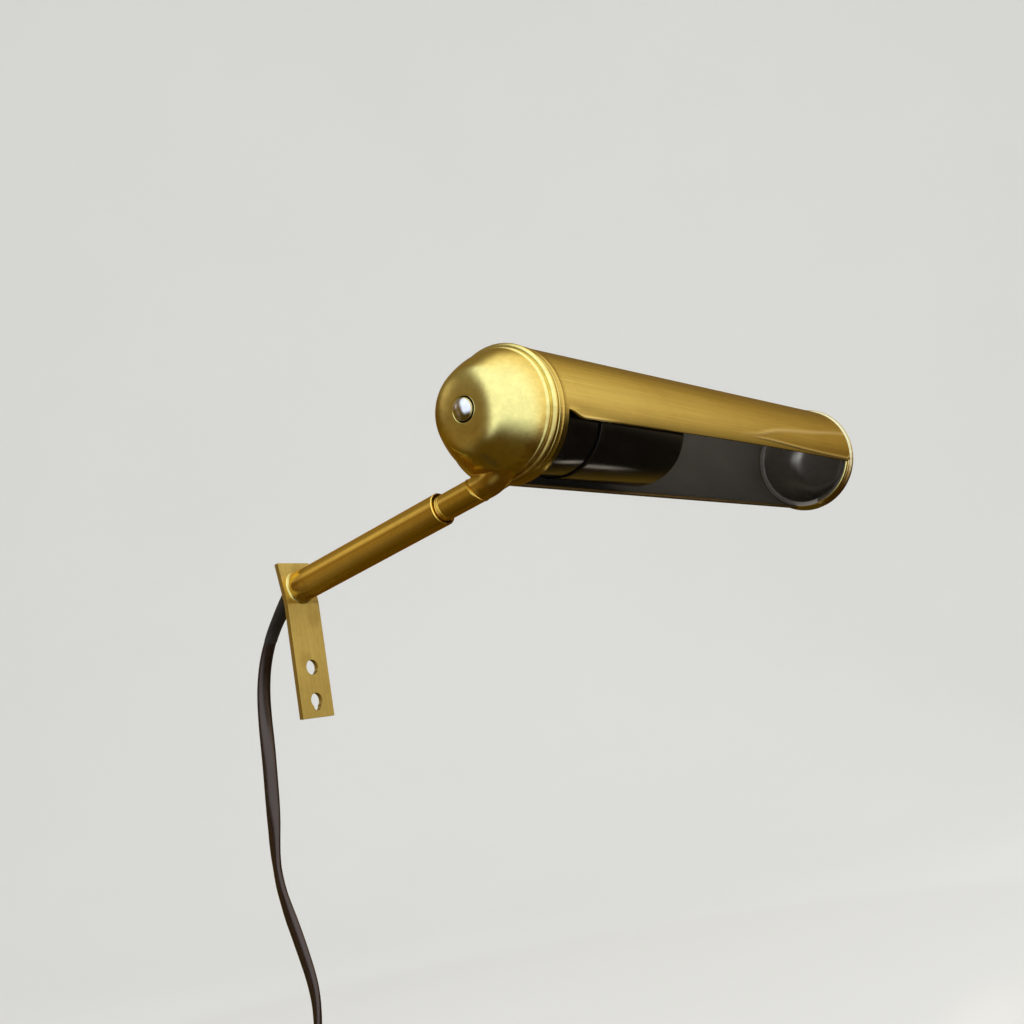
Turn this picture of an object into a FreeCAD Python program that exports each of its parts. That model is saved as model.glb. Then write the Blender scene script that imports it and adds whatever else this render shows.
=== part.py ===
import FreeCAD, Part
import Sketcher
import math
import os

# A piano lamp: a screw-on brass plate, a telescoping arm, a domed end cap that
# carries the lampholder and the push switch, and a tubular shade that turns on it.
# Frame: X runs along the shade, -Y points from the plate out along the arm, +Z is up.
# The origin is the centre of the plate's round fixing hole, on the plate's back face.

os.makedirs("parts", exist_ok=True)
doc = FreeCAD.newDocument("PianoLamp")

# ---------------------------------------------------------------- driving sizes
sheet = doc.addObject("Spreadsheet::Sheet", "dims")
sizes = {
    # mounting plate, a bent brass strip
    "plateWidth": 16.5, "plateThick": 2.0, "plateBottom": -19.8, "plateTopRun": 10.5,
    "fixingHoleRadius": 3.0, "pearZ": -13.0, "pearRadius": 2.9, "pearTailZ": -15.2,
    "pearTailRadius": 1.9,
    # arm: distances are measured along its axis, from the plate's front face
    "footY": -1.0, "footZ": 32.1, "armRise": 9.2,
    "outerRadius": 6.25, "outerBore": 5.5, "mouth": 81.4, "cordHoleRadius": 4.3,
    "innerRadius": 4.9, "innerBore": 4.1, "innerStart": 16.0, "seam": 96.2,
    "sleeveStart": 19.0, "sleeveEnd": 31.0, "sleeveRadius": 5.44, "sleeveBore": 4.96,
    "sleeveSlot": 1.2, "collarRadius": 5.25, "collarWide": 2.6, "collarGap": 0.25,
    "bushStart": 71.0, "bushEnd": 77.0, "bushBore": 4.97,
    "solderRadius": 7.6, "solderHigh": 1.7, "ringRadius": 5.08, "ringWide": 0.5,
    "ringRoom": 0.05,
    "leadRadius": 2.3, "leadEnd": 84.0,
    # neck elbow under the near cap
    "bendStart": 103.3, "bendRadius": 9.0,
    # shade axis and tube
    "shadeY": -111.2, "shadeZ": 72.45,
    "tubeRadius": 25.0, "tubeWall": 0.8, "tubeStart": 5.4, "tubeEnd": 253.0,
    "windowStart": 10.8, "windowTop": 14.7, "windowSpan": 94.8, "reliefRadius": 8.0,
    "reliefRise": 2.5, "hemThick": 0.8, "hemWide": 2.6, "hemStart": 19.0,
    "hemEnd": 251.0,
    # end caps
    "capWall": 1.0, "noseFlat": -16.5, "noseHole": 4.55,
    "ridgeX": 1.3, "ridgeRadius": 23.0, "ridgeThick": 0.9,
    "beadX": 3.6, "beadRadius": 24.1, "beadThick": 1.4, "shoulderEnd": 5.1,
    "shoulderRadius": 24.5, "skirtRadius": 23.9, "skirtBore": 22.4, "skirtEnd": 10.5,
    "grooveStart": 6.9, "grooveEnd": 8.7, "grooveRadius": 23.2,
    "snapStart": 7.2, "snapEnd": 8.4, "snapBore": 23.45,
    "farBeadX": 255.3, "farBeadRadius": 24.4, "farSkirtStart": 251.4,
    "farSkirtRadius": 24.15,
    "farLipBore": 21.4, "farLipWide": 1.6,
    # push switch in the nose
    "buttonRadius": 4.2, "buttonRim": -16.6, "buttonBack": -15.6, "buttonRise": 2.9,
    "stemRadius": 1.9, "stemEnd": -5.5, "stemBore": 1.96,
    "switchRadius": 8.3, "switchFront": -12.4, "switchBack": -1.2,
    "springWell": 3.6, "springWellDepth": 7.4, "springRadius": 2.75, "springWire": 0.3,
    "springPitch": 1.4, "springLength": 4.9,
    "spacerRadius": 9.2, "spacerStart": -6.5,
    # lampholder
    "barStart": 4.0, "barEnd": 5.4, "barWide": 15.0,
    "nippleRadius": 5.0, "nippleBore": 3.4, "nippleStart": 1.0, "nippleEnd": 15.0,
    "nutThick": 2.5, "nutAcross": 13.0,
    "holderNeckRadius": 8.0, "holderConeStart": 7.4, "holderConeEnd": 13.5,
    "holderCapRadius": 20.7, "holderSeam": 35.8, "holderGroove": 0.9,
    "holderRadius": 21.2, "holderEnd": 98.0, "holderWall": 2.4, "holderLipBore": 14.8,
    "holderLipWide": 4.5, "holderBlend": 1.4,
    "insertStart": 40.0, "insertEnd": 62.0, "shellRadius": 14.2, "shellWall": 0.45,
    "shellEnd": 92.5, "threadPitch": 3.6, "threadDeep": 0.55,
    "contactRadius": 4.5, "contactHigh": 5.0, "terminalRadius": 1.9,
    # mains cord, its coil and its plug
    "cordRadius": 2.75, "bushingFlange": 5.6, "bushingThick": 1.6, "bushingNose": 3.9,
    "coilX": 14.0, "coilY": 21.9, "coilZ": -197.0, "coilRadius": 30.5,
    "coilSection": 8.6, "tieBore": 9.15, "tieThick": 0.9, "tieWide": 7.0,
    "plugTop": -252.0, "plugLong": 36.0, "plugWide": 35.5, "plugThick": 13.6,
    "plugNeck": 11.0, "pinRadius": 2.0, "pinLong": 19.0, "pinApart": 18.6,
}
for row, (alias, number) in enumerate(sizes.items(), start=1):
    sheet.set(f"A{row}", alias)
    sheet.set(f"B{row}", str(number))
    sheet.setAlias(f"B{row}", alias)
doc.recompute()


def size(alias):
    return float(sheet.get(alias))


# ---------------------------------------------------------------- places and axes
rise = math.radians(size("armRise"))
armOut = FreeCAD.Vector(0, -math.cos(rise), math.sin(rise))
armUp = FreeCAD.Vector(0, math.sin(rise), math.cos(rise))
alongX = FreeCAD.Rotation(FreeCAD.Vector(0, 1, 0), 90)
alongArm = FreeCAD.Rotation(FreeCAD.Vector(1, 0, 0), 90 - size("armRise"))
alongY = FreeCAD.Rotation(FreeCAD.Vector(1, 0, 0), -90)
armCos = "cos(dims.armRise * 1 deg)"
armSin = "sin(dims.armRise * 1 deg)"


def bind(thing, **rules):
    for prop, rule in rules.items():
        thing.setExpression(prop, rule)


def seat(thing, x, y, z, turn):
    """Turns a primitive and ties its place to the sheet."""
    thing.Placement = FreeCAD.Placement(FreeCAD.Vector(), turn)
    bind(thing, **{"Placement.Base.x": x, "Placement.Base.y": y, "Placement.Base.z": z})


def onShade(thing, x, turn=alongX):
    seat(thing, x, "dims.shadeY", "dims.shadeZ", turn)


def onArm(thing, run):
    seat(thing, "0", f"dims.footY - ({run}) * {armCos}", f"dims.footZ + ({run}) * {armSin}",
         alongArm)


def shadeDisc(name, radius, start, end, turn=alongX):
    disc = doc.addObject("Part::Cylinder", name)
    bind(disc, Radius=radius, Height=f"({end}) - ({start})")
    onShade(disc, start, turn)
    return disc


def armDisc(name, radius, start, end):
    disc = doc.addObject("Part::Cylinder", name)
    bind(disc, Radius=radius, Height=f"({end}) - ({start})")
    onArm(disc, start)
    return disc


def cut(name, base, tool):
    op = doc.addObject("Part::Cut", name)
    op.Base = base
    op.Tool = tool
    return op


def fuse(name, *shapes):
    op = doc.addObject("Part::MultiFuse", name)
    op.Shapes = list(shapes)
    return op


def common(name, *shapes):
    op = doc.addObject("Part::MultiCommon", name)
    op.Shapes = list(shapes)
    return op


def shadeRing(name, radius, bore, start, end):
    outer = shadeDisc(name + "Outer", radius, start, end)
    inner = shadeDisc(name + "Bore", bore, f"({start}) - 1", f"({end}) + 1")
    return cut(name, outer, inner)


def armRing(name, radius, bore, start, end):
    outer = armDisc(name + "Outer", radius, start, end)
    inner = armDisc(name + "Bore", bore, f"({start}) - 1", f"({end}) + 1")
    return cut(name, outer, inner)


def roundEdges(name, base, radius, chosen):
    """Fillets the edges of base that the test picks out."""
    doc.recompute()
    op = doc.addObject("Part::Fillet", name)
    op.Base = base
    op.Edges = [(number, radius, radius) for number, edge
                in enumerate(base.Shape.Edges, start=1) if chosen(edge)]
    return op


nodes = []


def keep(thing, label):
    thing.Label = label
    nodes.append(thing)
    return thing


# ---------------------------------------------------------------- mounting plate
def makePlate():
    body = doc.addObject("PartDesign::Body", "PlateBlank")
    sketch = body.newObject("Sketcher::SketchObject", "PlateSide")
    plane = [f for f in body.Origin.OriginFeatures if f.Role == "YZ_Plane"][0]
    sketch.AttachmentSupport = [(plane, "")]
    sketch.MapMode = "FlatFace"
    # The strip's side view: a straight lower run, then a run bent square to the arm.
    bendFront = f"dims.footZ - (dims.footY + dims.plateThick) * {armCos} / {armSin}"
    bendBack = f"{bendFront} - dims.plateThick * {armSin} / (1 + {armCos})"
    topY = f"dims.footY + dims.plateTopRun * {armSin}"
    topZ = f"dims.footZ + dims.plateTopRun * {armCos}"
    corners = [
        ("-dims.plateThick", "dims.plateBottom"), ("0", "dims.plateBottom"),
        ("0", bendBack),
        (f"{topY} + dims.plateThick * {armCos}", f"{topZ} - dims.plateThick * {armSin}"),
        (topY, topZ), ("-dims.plateThick", bendFront),
    ]
    start = [(-2.0, -19.8), (0.1, -19.8), (0.1, 25.8), (2.7, 42.1), (0.7, 42.5), (-2.0, 26.0)]
    count = len(corners)
    for i in range(count):
        a, b = start[i], start[(i + 1) % count]
        sketch.addGeometry(Part.LineSegment(FreeCAD.Vector(a[0], a[1], 0),
                                            FreeCAD.Vector(b[0], b[1], 0)), False)
    for i in range(count):
        sketch.addConstraint(Sketcher.Constraint("Coincident", i, 2, (i + 1) % count, 1))
    for i, rules in enumerate(corners):
        for kind, value, rule in zip(("DistanceX", "DistanceY"), start[i], rules):
            index = sketch.addConstraint(Sketcher.Constraint(kind, -1, 1, i, 1, value))
            sketch.setExpression(f"Constraints[{index}]", rule)
    pad = body.newObject("PartDesign::Pad", "PlatePad")
    pad.Profile = sketch
    pad.Midplane = True
    bind(pad, Length="dims.plateWidth")
    doc.recompute()

    fixing = doc.addObject("Part::Cylinder", "FixingHole")
    bind(fixing, Radius="dims.fixingHoleRadius", Height="dims.plateThick + 2")
    seat(fixing, "0", "-dims.plateThick - 1", "0", alongY)
    pear = doc.addObject("Part::Cylinder", "PearHole")
    bind(pear, Radius="dims.pearRadius", Height="dims.plateThick + 2")
    seat(pear, "0", "-dims.plateThick - 1", "dims.pearZ", alongY)
    tail = doc.addObject("Part::Cylinder", "PearTail")
    bind(tail, Radius="dims.pearTailRadius", Height="dims.plateThick + 2")
    seat(tail, "0", "-dims.plateThick - 1", "dims.pearTailZ", alongY)
    cordHole = armDisc("CordHole", "dims.cordHoleRadius", "-dims.plateThick - 1", "1")
    holes = fuse("PlateHoles", fixing, pear, tail, cordHole)
    keep(cut("MountingPlate", body, holes), "mounting_plate")


# ---------------------------------------------------------------- arm
def makeArm():
    keep(armRing("OuterTube", "dims.outerRadius", "dims.outerBore", "0", "dims.mouth"),
         "arm_outer_tube")
    solder = doc.addObject("Part::Cone", "SolderCone")
    bind(solder, Radius1="dims.solderRadius", Radius2="dims.outerRadius + 0.1",
         Height="dims.solderHigh")
    onArm(solder, "0")
    solderBore = armDisc("SolderBore", "dims.outerRadius", "-1", "dims.solderHigh + 1")
    keep(cut("Solder", solder, solderBore), "foot_solder_ring")
    keep(armRing("Bush", "dims.outerBore", "dims.bushBore", "dims.bushStart", "dims.bushEnd"),
         "arm_guide_bush")
    keep(armDisc("Lead", "dims.leadRadius", "0", "dims.leadEnd"), "arm_lead")

    sleeve = armRing("SleeveRing", "dims.sleeveRadius", "dims.sleeveBore",
                     "dims.sleeveStart", "dims.sleeveEnd")
    slot = doc.addObject("Part::Box", "SleeveSlot")
    bind(slot, Length="dims.sleeveSlot", Width="dims.sleeveRadius + 1",
         Height="dims.sleeveEnd - dims.sleeveStart + 2")
    seat(slot, "-dims.sleeveSlot / 2",
         f"dims.footY - (dims.sleeveStart - 1) * {armCos}",
         f"dims.footZ + (dims.sleeveStart - 1) * {armSin}", alongArm)
    keep(cut("Sleeve", sleeve, slot), "friction_sleeve")

    keep(armRing("InnerTube", "dims.innerRadius", "dims.innerBore", "dims.innerStart",
                 "dims.seam"), "arm_inner_tube")
    rear = armRing("RearCollar", "dims.collarRadius", "dims.innerRadius",
                   "dims.sleeveStart - dims.collarGap - dims.collarWide",
                   "dims.sleeveStart - dims.collarGap")
    front = armRing("FrontCollar", "dims.collarRadius", "dims.innerRadius",
                    "dims.sleeveEnd + dims.collarGap",
                    "dims.sleeveEnd + dims.collarGap + dims.collarWide")
    collars = doc.addObject("Part::Compound", "Collars")
    collars.Links = [rear, front]
    keep(collars, "sleeve_collars")
    keep(armRing("NeckRing", "dims.ringRadius", "dims.innerBore", "dims.seam",
                 "dims.seam + dims.ringWide"), "neck_ring")


# ---------------------------------------------------------------- near end cap
# The spun dome's outline as (x, radius), from its nose to the bead.
domeOutline = [
    (-16.5, 4.5), (-16.4, 8.0), (-16.0, 11.1), (-15.2, 13.5), (-14.0, 15.1), (-12.0, 16.65),
    (-10.0, 18.0), (-8.0, 19.3), (-6.0, 20.5), (-4.0, 21.55), (-2.0, 22.4), (0.0, 23.05),
    (3.2, 23.6),
]


def domeForm(name, inward=0, far=False):
    """The dome as a turned solid, its outline moved inward by a wall's thickness."""
    outline = []
    for i, (x, radius) in enumerate(domeOutline):
        before, after = domeOutline[max(i - 1, 0)], domeOutline[min(i + 1, 12)]
        dx, dr = after[0] - before[0], after[1] - before[1]
        step = inward / math.hypot(dx, dr)
        outline.append((x + dr * step, radius - dx * step))
    if far:
        outline = [(size("beadX") + size("farBeadX") - x, radius) for x, radius in outline]
    axis = FreeCAD.Vector(0, size("shadeY"), size("shadeZ"))
    points = [axis + FreeCAD.Vector(x, 0, radius) for x, radius in outline]
    curve = Part.BSplineCurve()
    curve.interpolate(points)
    corners = [points[-1], axis + FreeCAD.Vector(outline[-1][0], 0, 0),
               axis + FreeCAD.Vector(outline[0][0], 0, 0), points[0]]
    lines = [Part.LineSegment(a, b).toShape() for a, b in zip(corners, corners[1:])]
    dome = doc.addObject("Part::Feature", name)
    dome.Shape = Part.Face(Part.Wire([curve.toShape()] + lines)).revolve(
        axis, FreeCAD.Vector(1, 0, 0), 360)
    return dome


def ellipsoid(name, length, radius, x):
    dome = doc.addObject("Part::Ellipsoid", name)
    bind(dome, Radius1=length, Radius2=radius, Radius3=radius)
    onShade(dome, x)
    return dome


def torus(name, ring, thick, x):
    bead = doc.addObject("Part::Torus", name)
    bind(bead, Radius1=ring, Radius2=thick)
    onShade(bead, x)
    return bead


def neckRun(name, radius, first, last):
    """The neck: a straight run on the arm's axis, then an elbow up into the cap."""
    straight = armDisc(name + "Straight", radius, first, last)
    elbow = doc.addObject("Part::Torus", name + "Elbow")
    bind(elbow, Radius1="dims.bendRadius", Radius2=radius, Angle3="90 - dims.armRise")
    turn = FreeCAD.Rotation(-armUp, armOut, FreeCAD.Vector(-1, 0, 0), "XYZ")
    seat(elbow, "0",
         f"dims.footY - dims.bendStart * {armCos} + dims.bendRadius * {armSin}",
         f"dims.footZ + dims.bendStart * {armSin} + dims.bendRadius * {armCos}", turn)
    return [straight, elbow]


def makeNearCap():
    dome = domeForm("DomeOuter")
    ridge = torus("Ridge", "dims.ridgeRadius", "dims.ridgeThick", "dims.ridgeX")
    bead = torus("Bead", "dims.beadRadius", "dims.beadThick", "dims.beadX")
    shoulder = shadeDisc("Shoulder", "dims.shoulderRadius", "dims.beadX - 1",
                         "dims.shoulderEnd")
    skirt = shadeDisc("Skirt", "dims.skirtRadius", "dims.beadX", "dims.skirtEnd")
    neck = neckRun("Neck", "dims.innerRadius", "dims.seam + dims.ringWide", "dims.bendStart")
    turned = fuse("CapTurned", dome, ridge, bead, shoulder, skirt)
    outside = fuse("CapOutside", turned, fuse("NeckOutside", *neck))

    hollow = fuse("CapHollow",
                  common("DomeHollow", domeForm("HollowForm", size("capWall")),
                         shadeDisc("HollowSpan", "dims.skirtBore", "dims.noseFlat",
                                   "dims.beadX")),
                  shadeDisc("SkirtBore", "dims.skirtBore", "dims.beadX - 1",
                            "dims.skirtEnd + 1"),
                  shadeDisc("NoseHole", "dims.noseHole", "dims.noseFlat - 1",
                            "dims.noseFlat + 3"),
                  *neckRun("NeckBore", "dims.innerBore", "dims.seam", "dims.bendStart"))
    groove = shadeRing("Groove", "dims.skirtRadius + 1", "dims.grooveRadius",
                       "dims.grooveStart", "dims.grooveEnd")
    ringRoom = armDisc("RingRoom", "dims.ringRadius + dims.ringRoom", "dims.seam - 2",
                       "dims.seam + dims.ringWide")
    shell = cut("CapShell", outside, hollow)
    keep(cut("NearCap", shell, fuse("CapCuts", groove, ringRoom)), "near_end_cap")


# ---------------------------------------------------------------- push switch
def makeSwitch():
    rim = shadeDisc("ButtonRim", "dims.buttonRadius", "dims.buttonRim", "dims.buttonBack")
    crown = common("ButtonCrown",
                   ellipsoid("CrownForm", "dims.buttonRise", "dims.buttonRadius",
                             "dims.buttonRim"),
                   shadeDisc("CrownSpan", "dims.buttonRadius + 1",
                             "dims.buttonRim - dims.buttonRise - 1", "dims.buttonRim"))
    stem = shadeDisc("Stem", "dims.stemRadius", "dims.buttonBack - 0.5", "dims.stemEnd")
    keep(fuse("Button", rim, crown, stem), "switch_button")

    body = shadeDisc("SwitchBlock", "dims.switchRadius", "dims.switchFront",
                     "dims.switchBack")
    well = shadeDisc("SpringWell", "dims.springWell", "dims.switchFront - 1",
                     "dims.switchFront + dims.springWellDepth")
    bore = shadeDisc("StemBore", "dims.stemBore", "dims.switchFront",
                     "dims.switchBack - 1")
    keep(cut("SwitchBody", body, fuse("SwitchHoles", well, bore)), "switch_body")

    spacer = shadeRing("SpacerTube", "dims.spacerRadius", "dims.switchRadius",
                       "dims.spacerStart", "dims.barStart")
    slot = doc.addObject("Part::Box", "SpacerSlot")
    bind(slot, Length="dims.switchBack - dims.spacerStart + 5", Width="6", Height="6")
    seat(slot, "dims.spacerStart - 1", "dims.shadeY - 3",
         "dims.shadeZ - dims.spacerRadius - 2", FreeCAD.Rotation())
    keep(cut("Spacer", spacer, slot), "switch_spacer")

    # The return spring rides on the button's stem, with room behind it for the stroke.
    helix = Part.makeHelix(size("springPitch"), size("springLength"), size("springRadius"))
    wire = Part.Wire(Part.makeCircle(size("springWire"),
                                     FreeCAD.Vector(size("springRadius"), 0, 0),
                                     FreeCAD.Vector(0, 1, 0)))
    spring = doc.addObject("Part::Feature", "Spring")
    spring.Shape = Part.Wire(helix.Edges).makePipeShell([wire], True, True)
    first = size("buttonBack") + size("springWire") + 0.05
    spring.Placement = FreeCAD.Placement(
        FreeCAD.Vector(first, size("shadeY"), size("shadeZ")), alongX)
    keep(spring, "switch_spring")


# ---------------------------------------------------------------- lampholder
def makeHolder():
    bar = doc.addObject("Part::Box", "BarBlank")
    bind(bar, Length="dims.barEnd - dims.barStart", Width="2 * dims.skirtBore",
         Height="dims.barWide")
    seat(bar, "dims.barStart", "dims.shadeY - dims.skirtBore",
         "dims.shadeZ - dims.barWide / 2", FreeCAD.Rotation())
    trimmed = common("BarTrimmed", bar, shadeDisc("BarRound", "dims.skirtBore",
                                                  "dims.barStart", "dims.barEnd"))
    keep(cut("Bar", trimmed, shadeDisc("BarHole", "dims.nippleRadius", "dims.barStart - 1",
                                       "dims.barEnd + 1")), "holder_bar")
    keep(shadeRing("Nipple", "dims.nippleRadius", "dims.nippleBore", "dims.nippleStart",
                   "dims.nippleEnd"), "threaded_nipple")

    nut = doc.addObject("Part::Prism", "NutBlank")
    nut.Polygon = 6
    bind(nut, Circumradius="dims.nutAcross / sqrt(3)", Height="dims.nutThick")
    onShade(nut, "dims.barStart - dims.nutThick")
    keep(cut("Nut", nut, shadeDisc("NutHole", "dims.nippleRadius",
                                   "dims.barStart - dims.nutThick - 1",
                                   "dims.barStart + 1")), "nipple_nut")

    cone = doc.addObject("Part::Cone", "HolderCone")
    bind(cone, Radius1="dims.holderNeckRadius", Radius2="dims.holderCapRadius",
         Height="dims.holderConeEnd - dims.holderConeStart")
    onShade(cone, "dims.holderConeStart")
    hollowCone = doc.addObject("Part::Cone", "HolderHollowCone")
    bind(hollowCone, Radius1="dims.nippleRadius",
         Radius2="dims.holderCapRadius - dims.holderWall",
         Height="dims.holderConeEnd - dims.holderConeStart")
    onShade(hollowCone, "dims.holderConeStart + dims.holderWall")
    outside = fuse("HolderCapOutside", cone,
                   shadeDisc("HolderNeck", "dims.holderNeckRadius", "dims.barEnd",
                             "dims.holderConeStart + 1"),
                   shadeDisc("HolderDrum", "dims.holderCapRadius", "dims.holderConeEnd",
                             "dims.holderSeam"))
    inside = fuse("HolderCapInside", hollowCone,
                  shadeDisc("HolderNippleHole", "dims.nippleRadius", "dims.barEnd - 1",
                            "dims.holderConeStart + dims.holderWall + 1"),
                  shadeDisc("HolderDrumBore", "dims.holderCapRadius - dims.holderWall",
                            "dims.holderConeEnd + dims.holderWall",
                            "dims.holderSeam + 1"))
    keep(cut("HolderRearCap", outside, inside), "holder_rear_cap")

    drum = fuse("HolderSkirtBlank",
                shadeDisc("HolderSkirtDrum", "dims.holderRadius",
                          "dims.holderSeam + dims.holderGroove", "dims.holderEnd"),
                shadeDisc("HolderSkirtStep", "dims.holderRadius - dims.holderGroove",
                          "dims.holderSeam", "dims.holderSeam + dims.holderGroove + 1"))
    drum = roundEdges("HolderSkirtRound", drum, size("holderBlend"),
                      lambda e: e.BoundBox.XMin > size("holderEnd") - 0.01)
    inside = fuse("HolderSkirtInside",
                  shadeDisc("HolderSkirtBore", "dims.holderRadius - dims.holderWall",
                            "dims.holderSeam - 1", "dims.holderEnd - dims.holderLipWide"),
                  shadeDisc("HolderMouth", "dims.holderLipBore", "dims.holderSeam",
                            "dims.holderEnd + 1"))
    keep(cut("HolderSkirt", drum, inside), "holder_skirt")

    insert = shadeDisc("InsertDrum", "dims.holderRadius - dims.holderWall - 0.1",
                       "dims.insertStart", "dims.insertEnd")
    wireHoles = [insert]
    for side in (-1, 1):
        hole = shadeDisc(f"InsertHole{'AB'[side > 0]}", "1.4", "dims.insertStart - 1",
                         "dims.insertStart + 12")
        bind(hole, **{"Placement.Base.y": f"dims.shadeY + {side * 9}"})
        wireHoles.append(hole)
    keep(cut("Insert", wireHoles[0], fuse("InsertHoles", *wireHoles[1:])), "holder_insert")

    shell = shadeRing("ShellTube", "dims.shellRadius", "dims.shellRadius - dims.shellWall",
                      "dims.insertEnd", "dims.shellEnd")
    rolls = [shell]
    turns = int((size("shellEnd") - size("insertEnd") - 6) / size("threadPitch"))
    for turn in range(turns):
        middle = f"dims.insertEnd + 4 + {turn} * dims.threadPitch"
        roll = shadeRing(f"ThreadRoll{'ABCDEFGHIJ'[turn]}", "dims.shellRadius",
                         "dims.shellRadius - dims.shellWall - dims.threadDeep",
                         f"{middle} - 0.6", f"{middle} + 0.6")
        rolls.append(roll)
    keep(fuse("ScrewShell", *rolls), "screw_shell")

    tongue = doc.addObject("Part::Cone", "ContactTongue")
    bind(tongue, Radius1="dims.contactRadius", Radius2="dims.contactRadius / 2",
         Height="dims.contactHigh")
    onShade(tongue, "dims.insertEnd")
    keep(tongue, "centre_contact")

    screws = doc.addObject("Part::Compound", "Terminals")
    heads = []
    for side in (-1, 1):
        name = f"Terminal{'AB'[side > 0]}"
        head = shadeDisc(name + "Head", "dims.terminalRadius", "dims.insertStart - 1.5",
                         "dims.insertStart")
        bind(head, **{"Placement.Base.z": f"dims.shadeZ + {side * 9}"})
        slotted = doc.addObject("Part::Box", name + "Slot")
        bind(slotted, Length="0.6", Width="2 * dims.terminalRadius + 1", Height="0.6")
        seat(slotted, "dims.insertStart - 1.6", "dims.shadeY - dims.terminalRadius - 0.5",
             f"dims.shadeZ + {side * 9} - 0.3", FreeCAD.Rotation())
        heads.append(cut(name, head, slotted))
    screws.Links = heads
    keep(screws, "terminal_screws")


# ---------------------------------------------------------------- shade
def sector(name, radius, start, end, first, span):
    """A pie slice of a cylinder on the shade's axis.

    Angles are in degrees, from straight down, growing towards the back.
    """
    turn = alongX.multiply(FreeCAD.Rotation(FreeCAD.Vector(0, 0, 1), first))
    slice_ = shadeDisc(name, radius, start, end, turn)
    bind(slice_, Angle=span)
    return slice_


def makeShade():
    tube = shadeRing("ShadeRing", "dims.tubeRadius", "dims.tubeRadius - dims.tubeWall",
                     "dims.tubeStart", "dims.tubeEnd")
    first = size("windowTop") - 90
    window = sector("Window", "dims.tubeRadius + 5", "dims.windowStart",
                    "dims.tubeEnd + 1", first, "dims.windowSpan")
    # At the near corner the window's upper edge swings up in a short round relief.
    arc = size("tubeRadius") * math.radians(size("windowTop"))
    drop = (size("reliefRadius") - size("reliefRise") + arc) / size("tubeRadius")
    outward = FreeCAD.Vector(0, -math.cos(drop), -math.sin(drop))
    relief = doc.addObject("Part::Cylinder", "Relief")
    bind(relief, Radius="dims.reliefRadius", Height="dims.tubeRadius")
    seat(relief, "dims.windowStart",
         f"dims.shadeY - dims.tubeRadius * {0.5 * math.cos(drop):.6f}",
         f"dims.shadeZ - dims.tubeRadius * {0.5 * math.sin(drop):.6f}",
         FreeCAD.Rotation(FreeCAD.Vector(0, 0, 1), outward))
    keepRight = shadeDisc("ReliefSpan", "dims.tubeRadius + 5", "dims.windowStart",
                          "dims.windowStart + 2 * dims.reliefRadius")
    relief = common("ReliefTrim", relief, keepRight)
    keep(cut("ShadeTube", tube, fuse("WindowCut", window, relief)), "shade_tube")

    wide = math.degrees(size("hemWide") / (size("tubeRadius") - size("tubeWall")))
    hems = doc.addObject("Part::Compound", "Hems")
    strips = []
    for name, start in (("UpperHem", first - wide), ("LowerHem", first + size("windowSpan"))):
        outer = sector(name + "Outer", "dims.tubeRadius - dims.tubeWall", "dims.hemStart",
                       "dims.hemEnd", start, f"{wide:.6f}")
        inner = shadeDisc(name + "Bore", "dims.tubeRadius - dims.tubeWall - dims.hemThick",
                          "dims.hemStart - 1", "dims.hemEnd + 1")
        strips.append(cut(name, outer, inner))
    hems.Links = strips
    keep(hems, "window_hems")

    keep(shadeRing("SnapRing", "dims.tubeRadius - dims.tubeWall", "dims.snapBore",
                   "dims.snapStart", "dims.snapEnd"), "shade_snap_ring")


def makeFarCap():
    outside = fuse("FarOutside", domeForm("FarDome", far=True),
                   torus("FarBead", "dims.farBeadRadius", "dims.beadThick", "dims.farBeadX"),
                   shadeDisc("FarShoulder", "dims.shoulderRadius", "dims.tubeEnd + 0.1",
                             "dims.farBeadX + 1"),
                   shadeDisc("FarSkirt", "dims.farSkirtRadius", "dims.farSkirtStart",
                             "dims.farBeadX"))
    hollow = fuse("FarHollow",
                  common("FarDomeHollow", domeForm("FarHollowForm", size("capWall"), True),
                         shadeDisc("FarHollowSpan", "dims.farSkirtRadius - dims.capWall",
                                   "dims.farBeadX - 1", "dims.farBeadX + 40")),
                  shadeDisc("FarBore", "dims.farSkirtRadius - dims.capWall",
                            "dims.farSkirtStart + dims.farLipWide", "dims.farBeadX + 1"),
                  shadeDisc("FarLipBore", "dims.farLipBore", "dims.farSkirtStart - 1",
                            "dims.farSkirtStart + dims.farLipWide + 1"))
    keep(cut("FarCap", outside, hollow), "far_end_cap")


# ---------------------------------------------------------------- mains cord
def vectors(points):
    return [FreeCAD.Vector(*point) for point in points]


def route(points, share=0.45):
    """Straight runs joined by tangent arcs; returns the wire and the arcs' radii."""
    edges, radii, last = [], [], points[0]
    for before, corner, after in zip(points, points[1:], points[2:]):
        back, ahead = (before - corner), (after - corner)
        runs = min(back.Length, ahead.Length)
        back.normalize()
        ahead.normalize()
        half = (math.pi - back.getAngle(ahead)) / 2
        reach = share * runs
        radius = reach / math.tan(half)
        radii.append(radius)
        middle = back + ahead
        middle.normalize()
        first, second = corner + back * reach, corner + ahead * reach
        sag = corner + middle * (radius / math.cos(half) - radius)
        edges += [Part.LineSegment(last, first).toShape(),
                  Part.Arc(first, sag, second).toShape()]
        last = second
    edges.append(Part.LineSegment(last, points[-1]).toShape())
    return Part.Wire(edges), radii


def pipe(name, points, radius):
    wire, radii = route(points)
    start = Part.makeCircle(radius, points[0], points[1] - points[0])
    solid = wire.makePipeShell([Part.Wire(start)], True, True)
    section = math.pi * radius ** 2
    print(f"{name}: {wire.Length:.1f} mm long, volume ratio "
          f"{solid.Volume / (section * wire.Length):.4f}, radii "
          + " ".join(f"{r:.0f}" for r in radii))
    thing = doc.addObject("Part::Feature", name)
    thing.Shape = solid
    return thing


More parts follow.
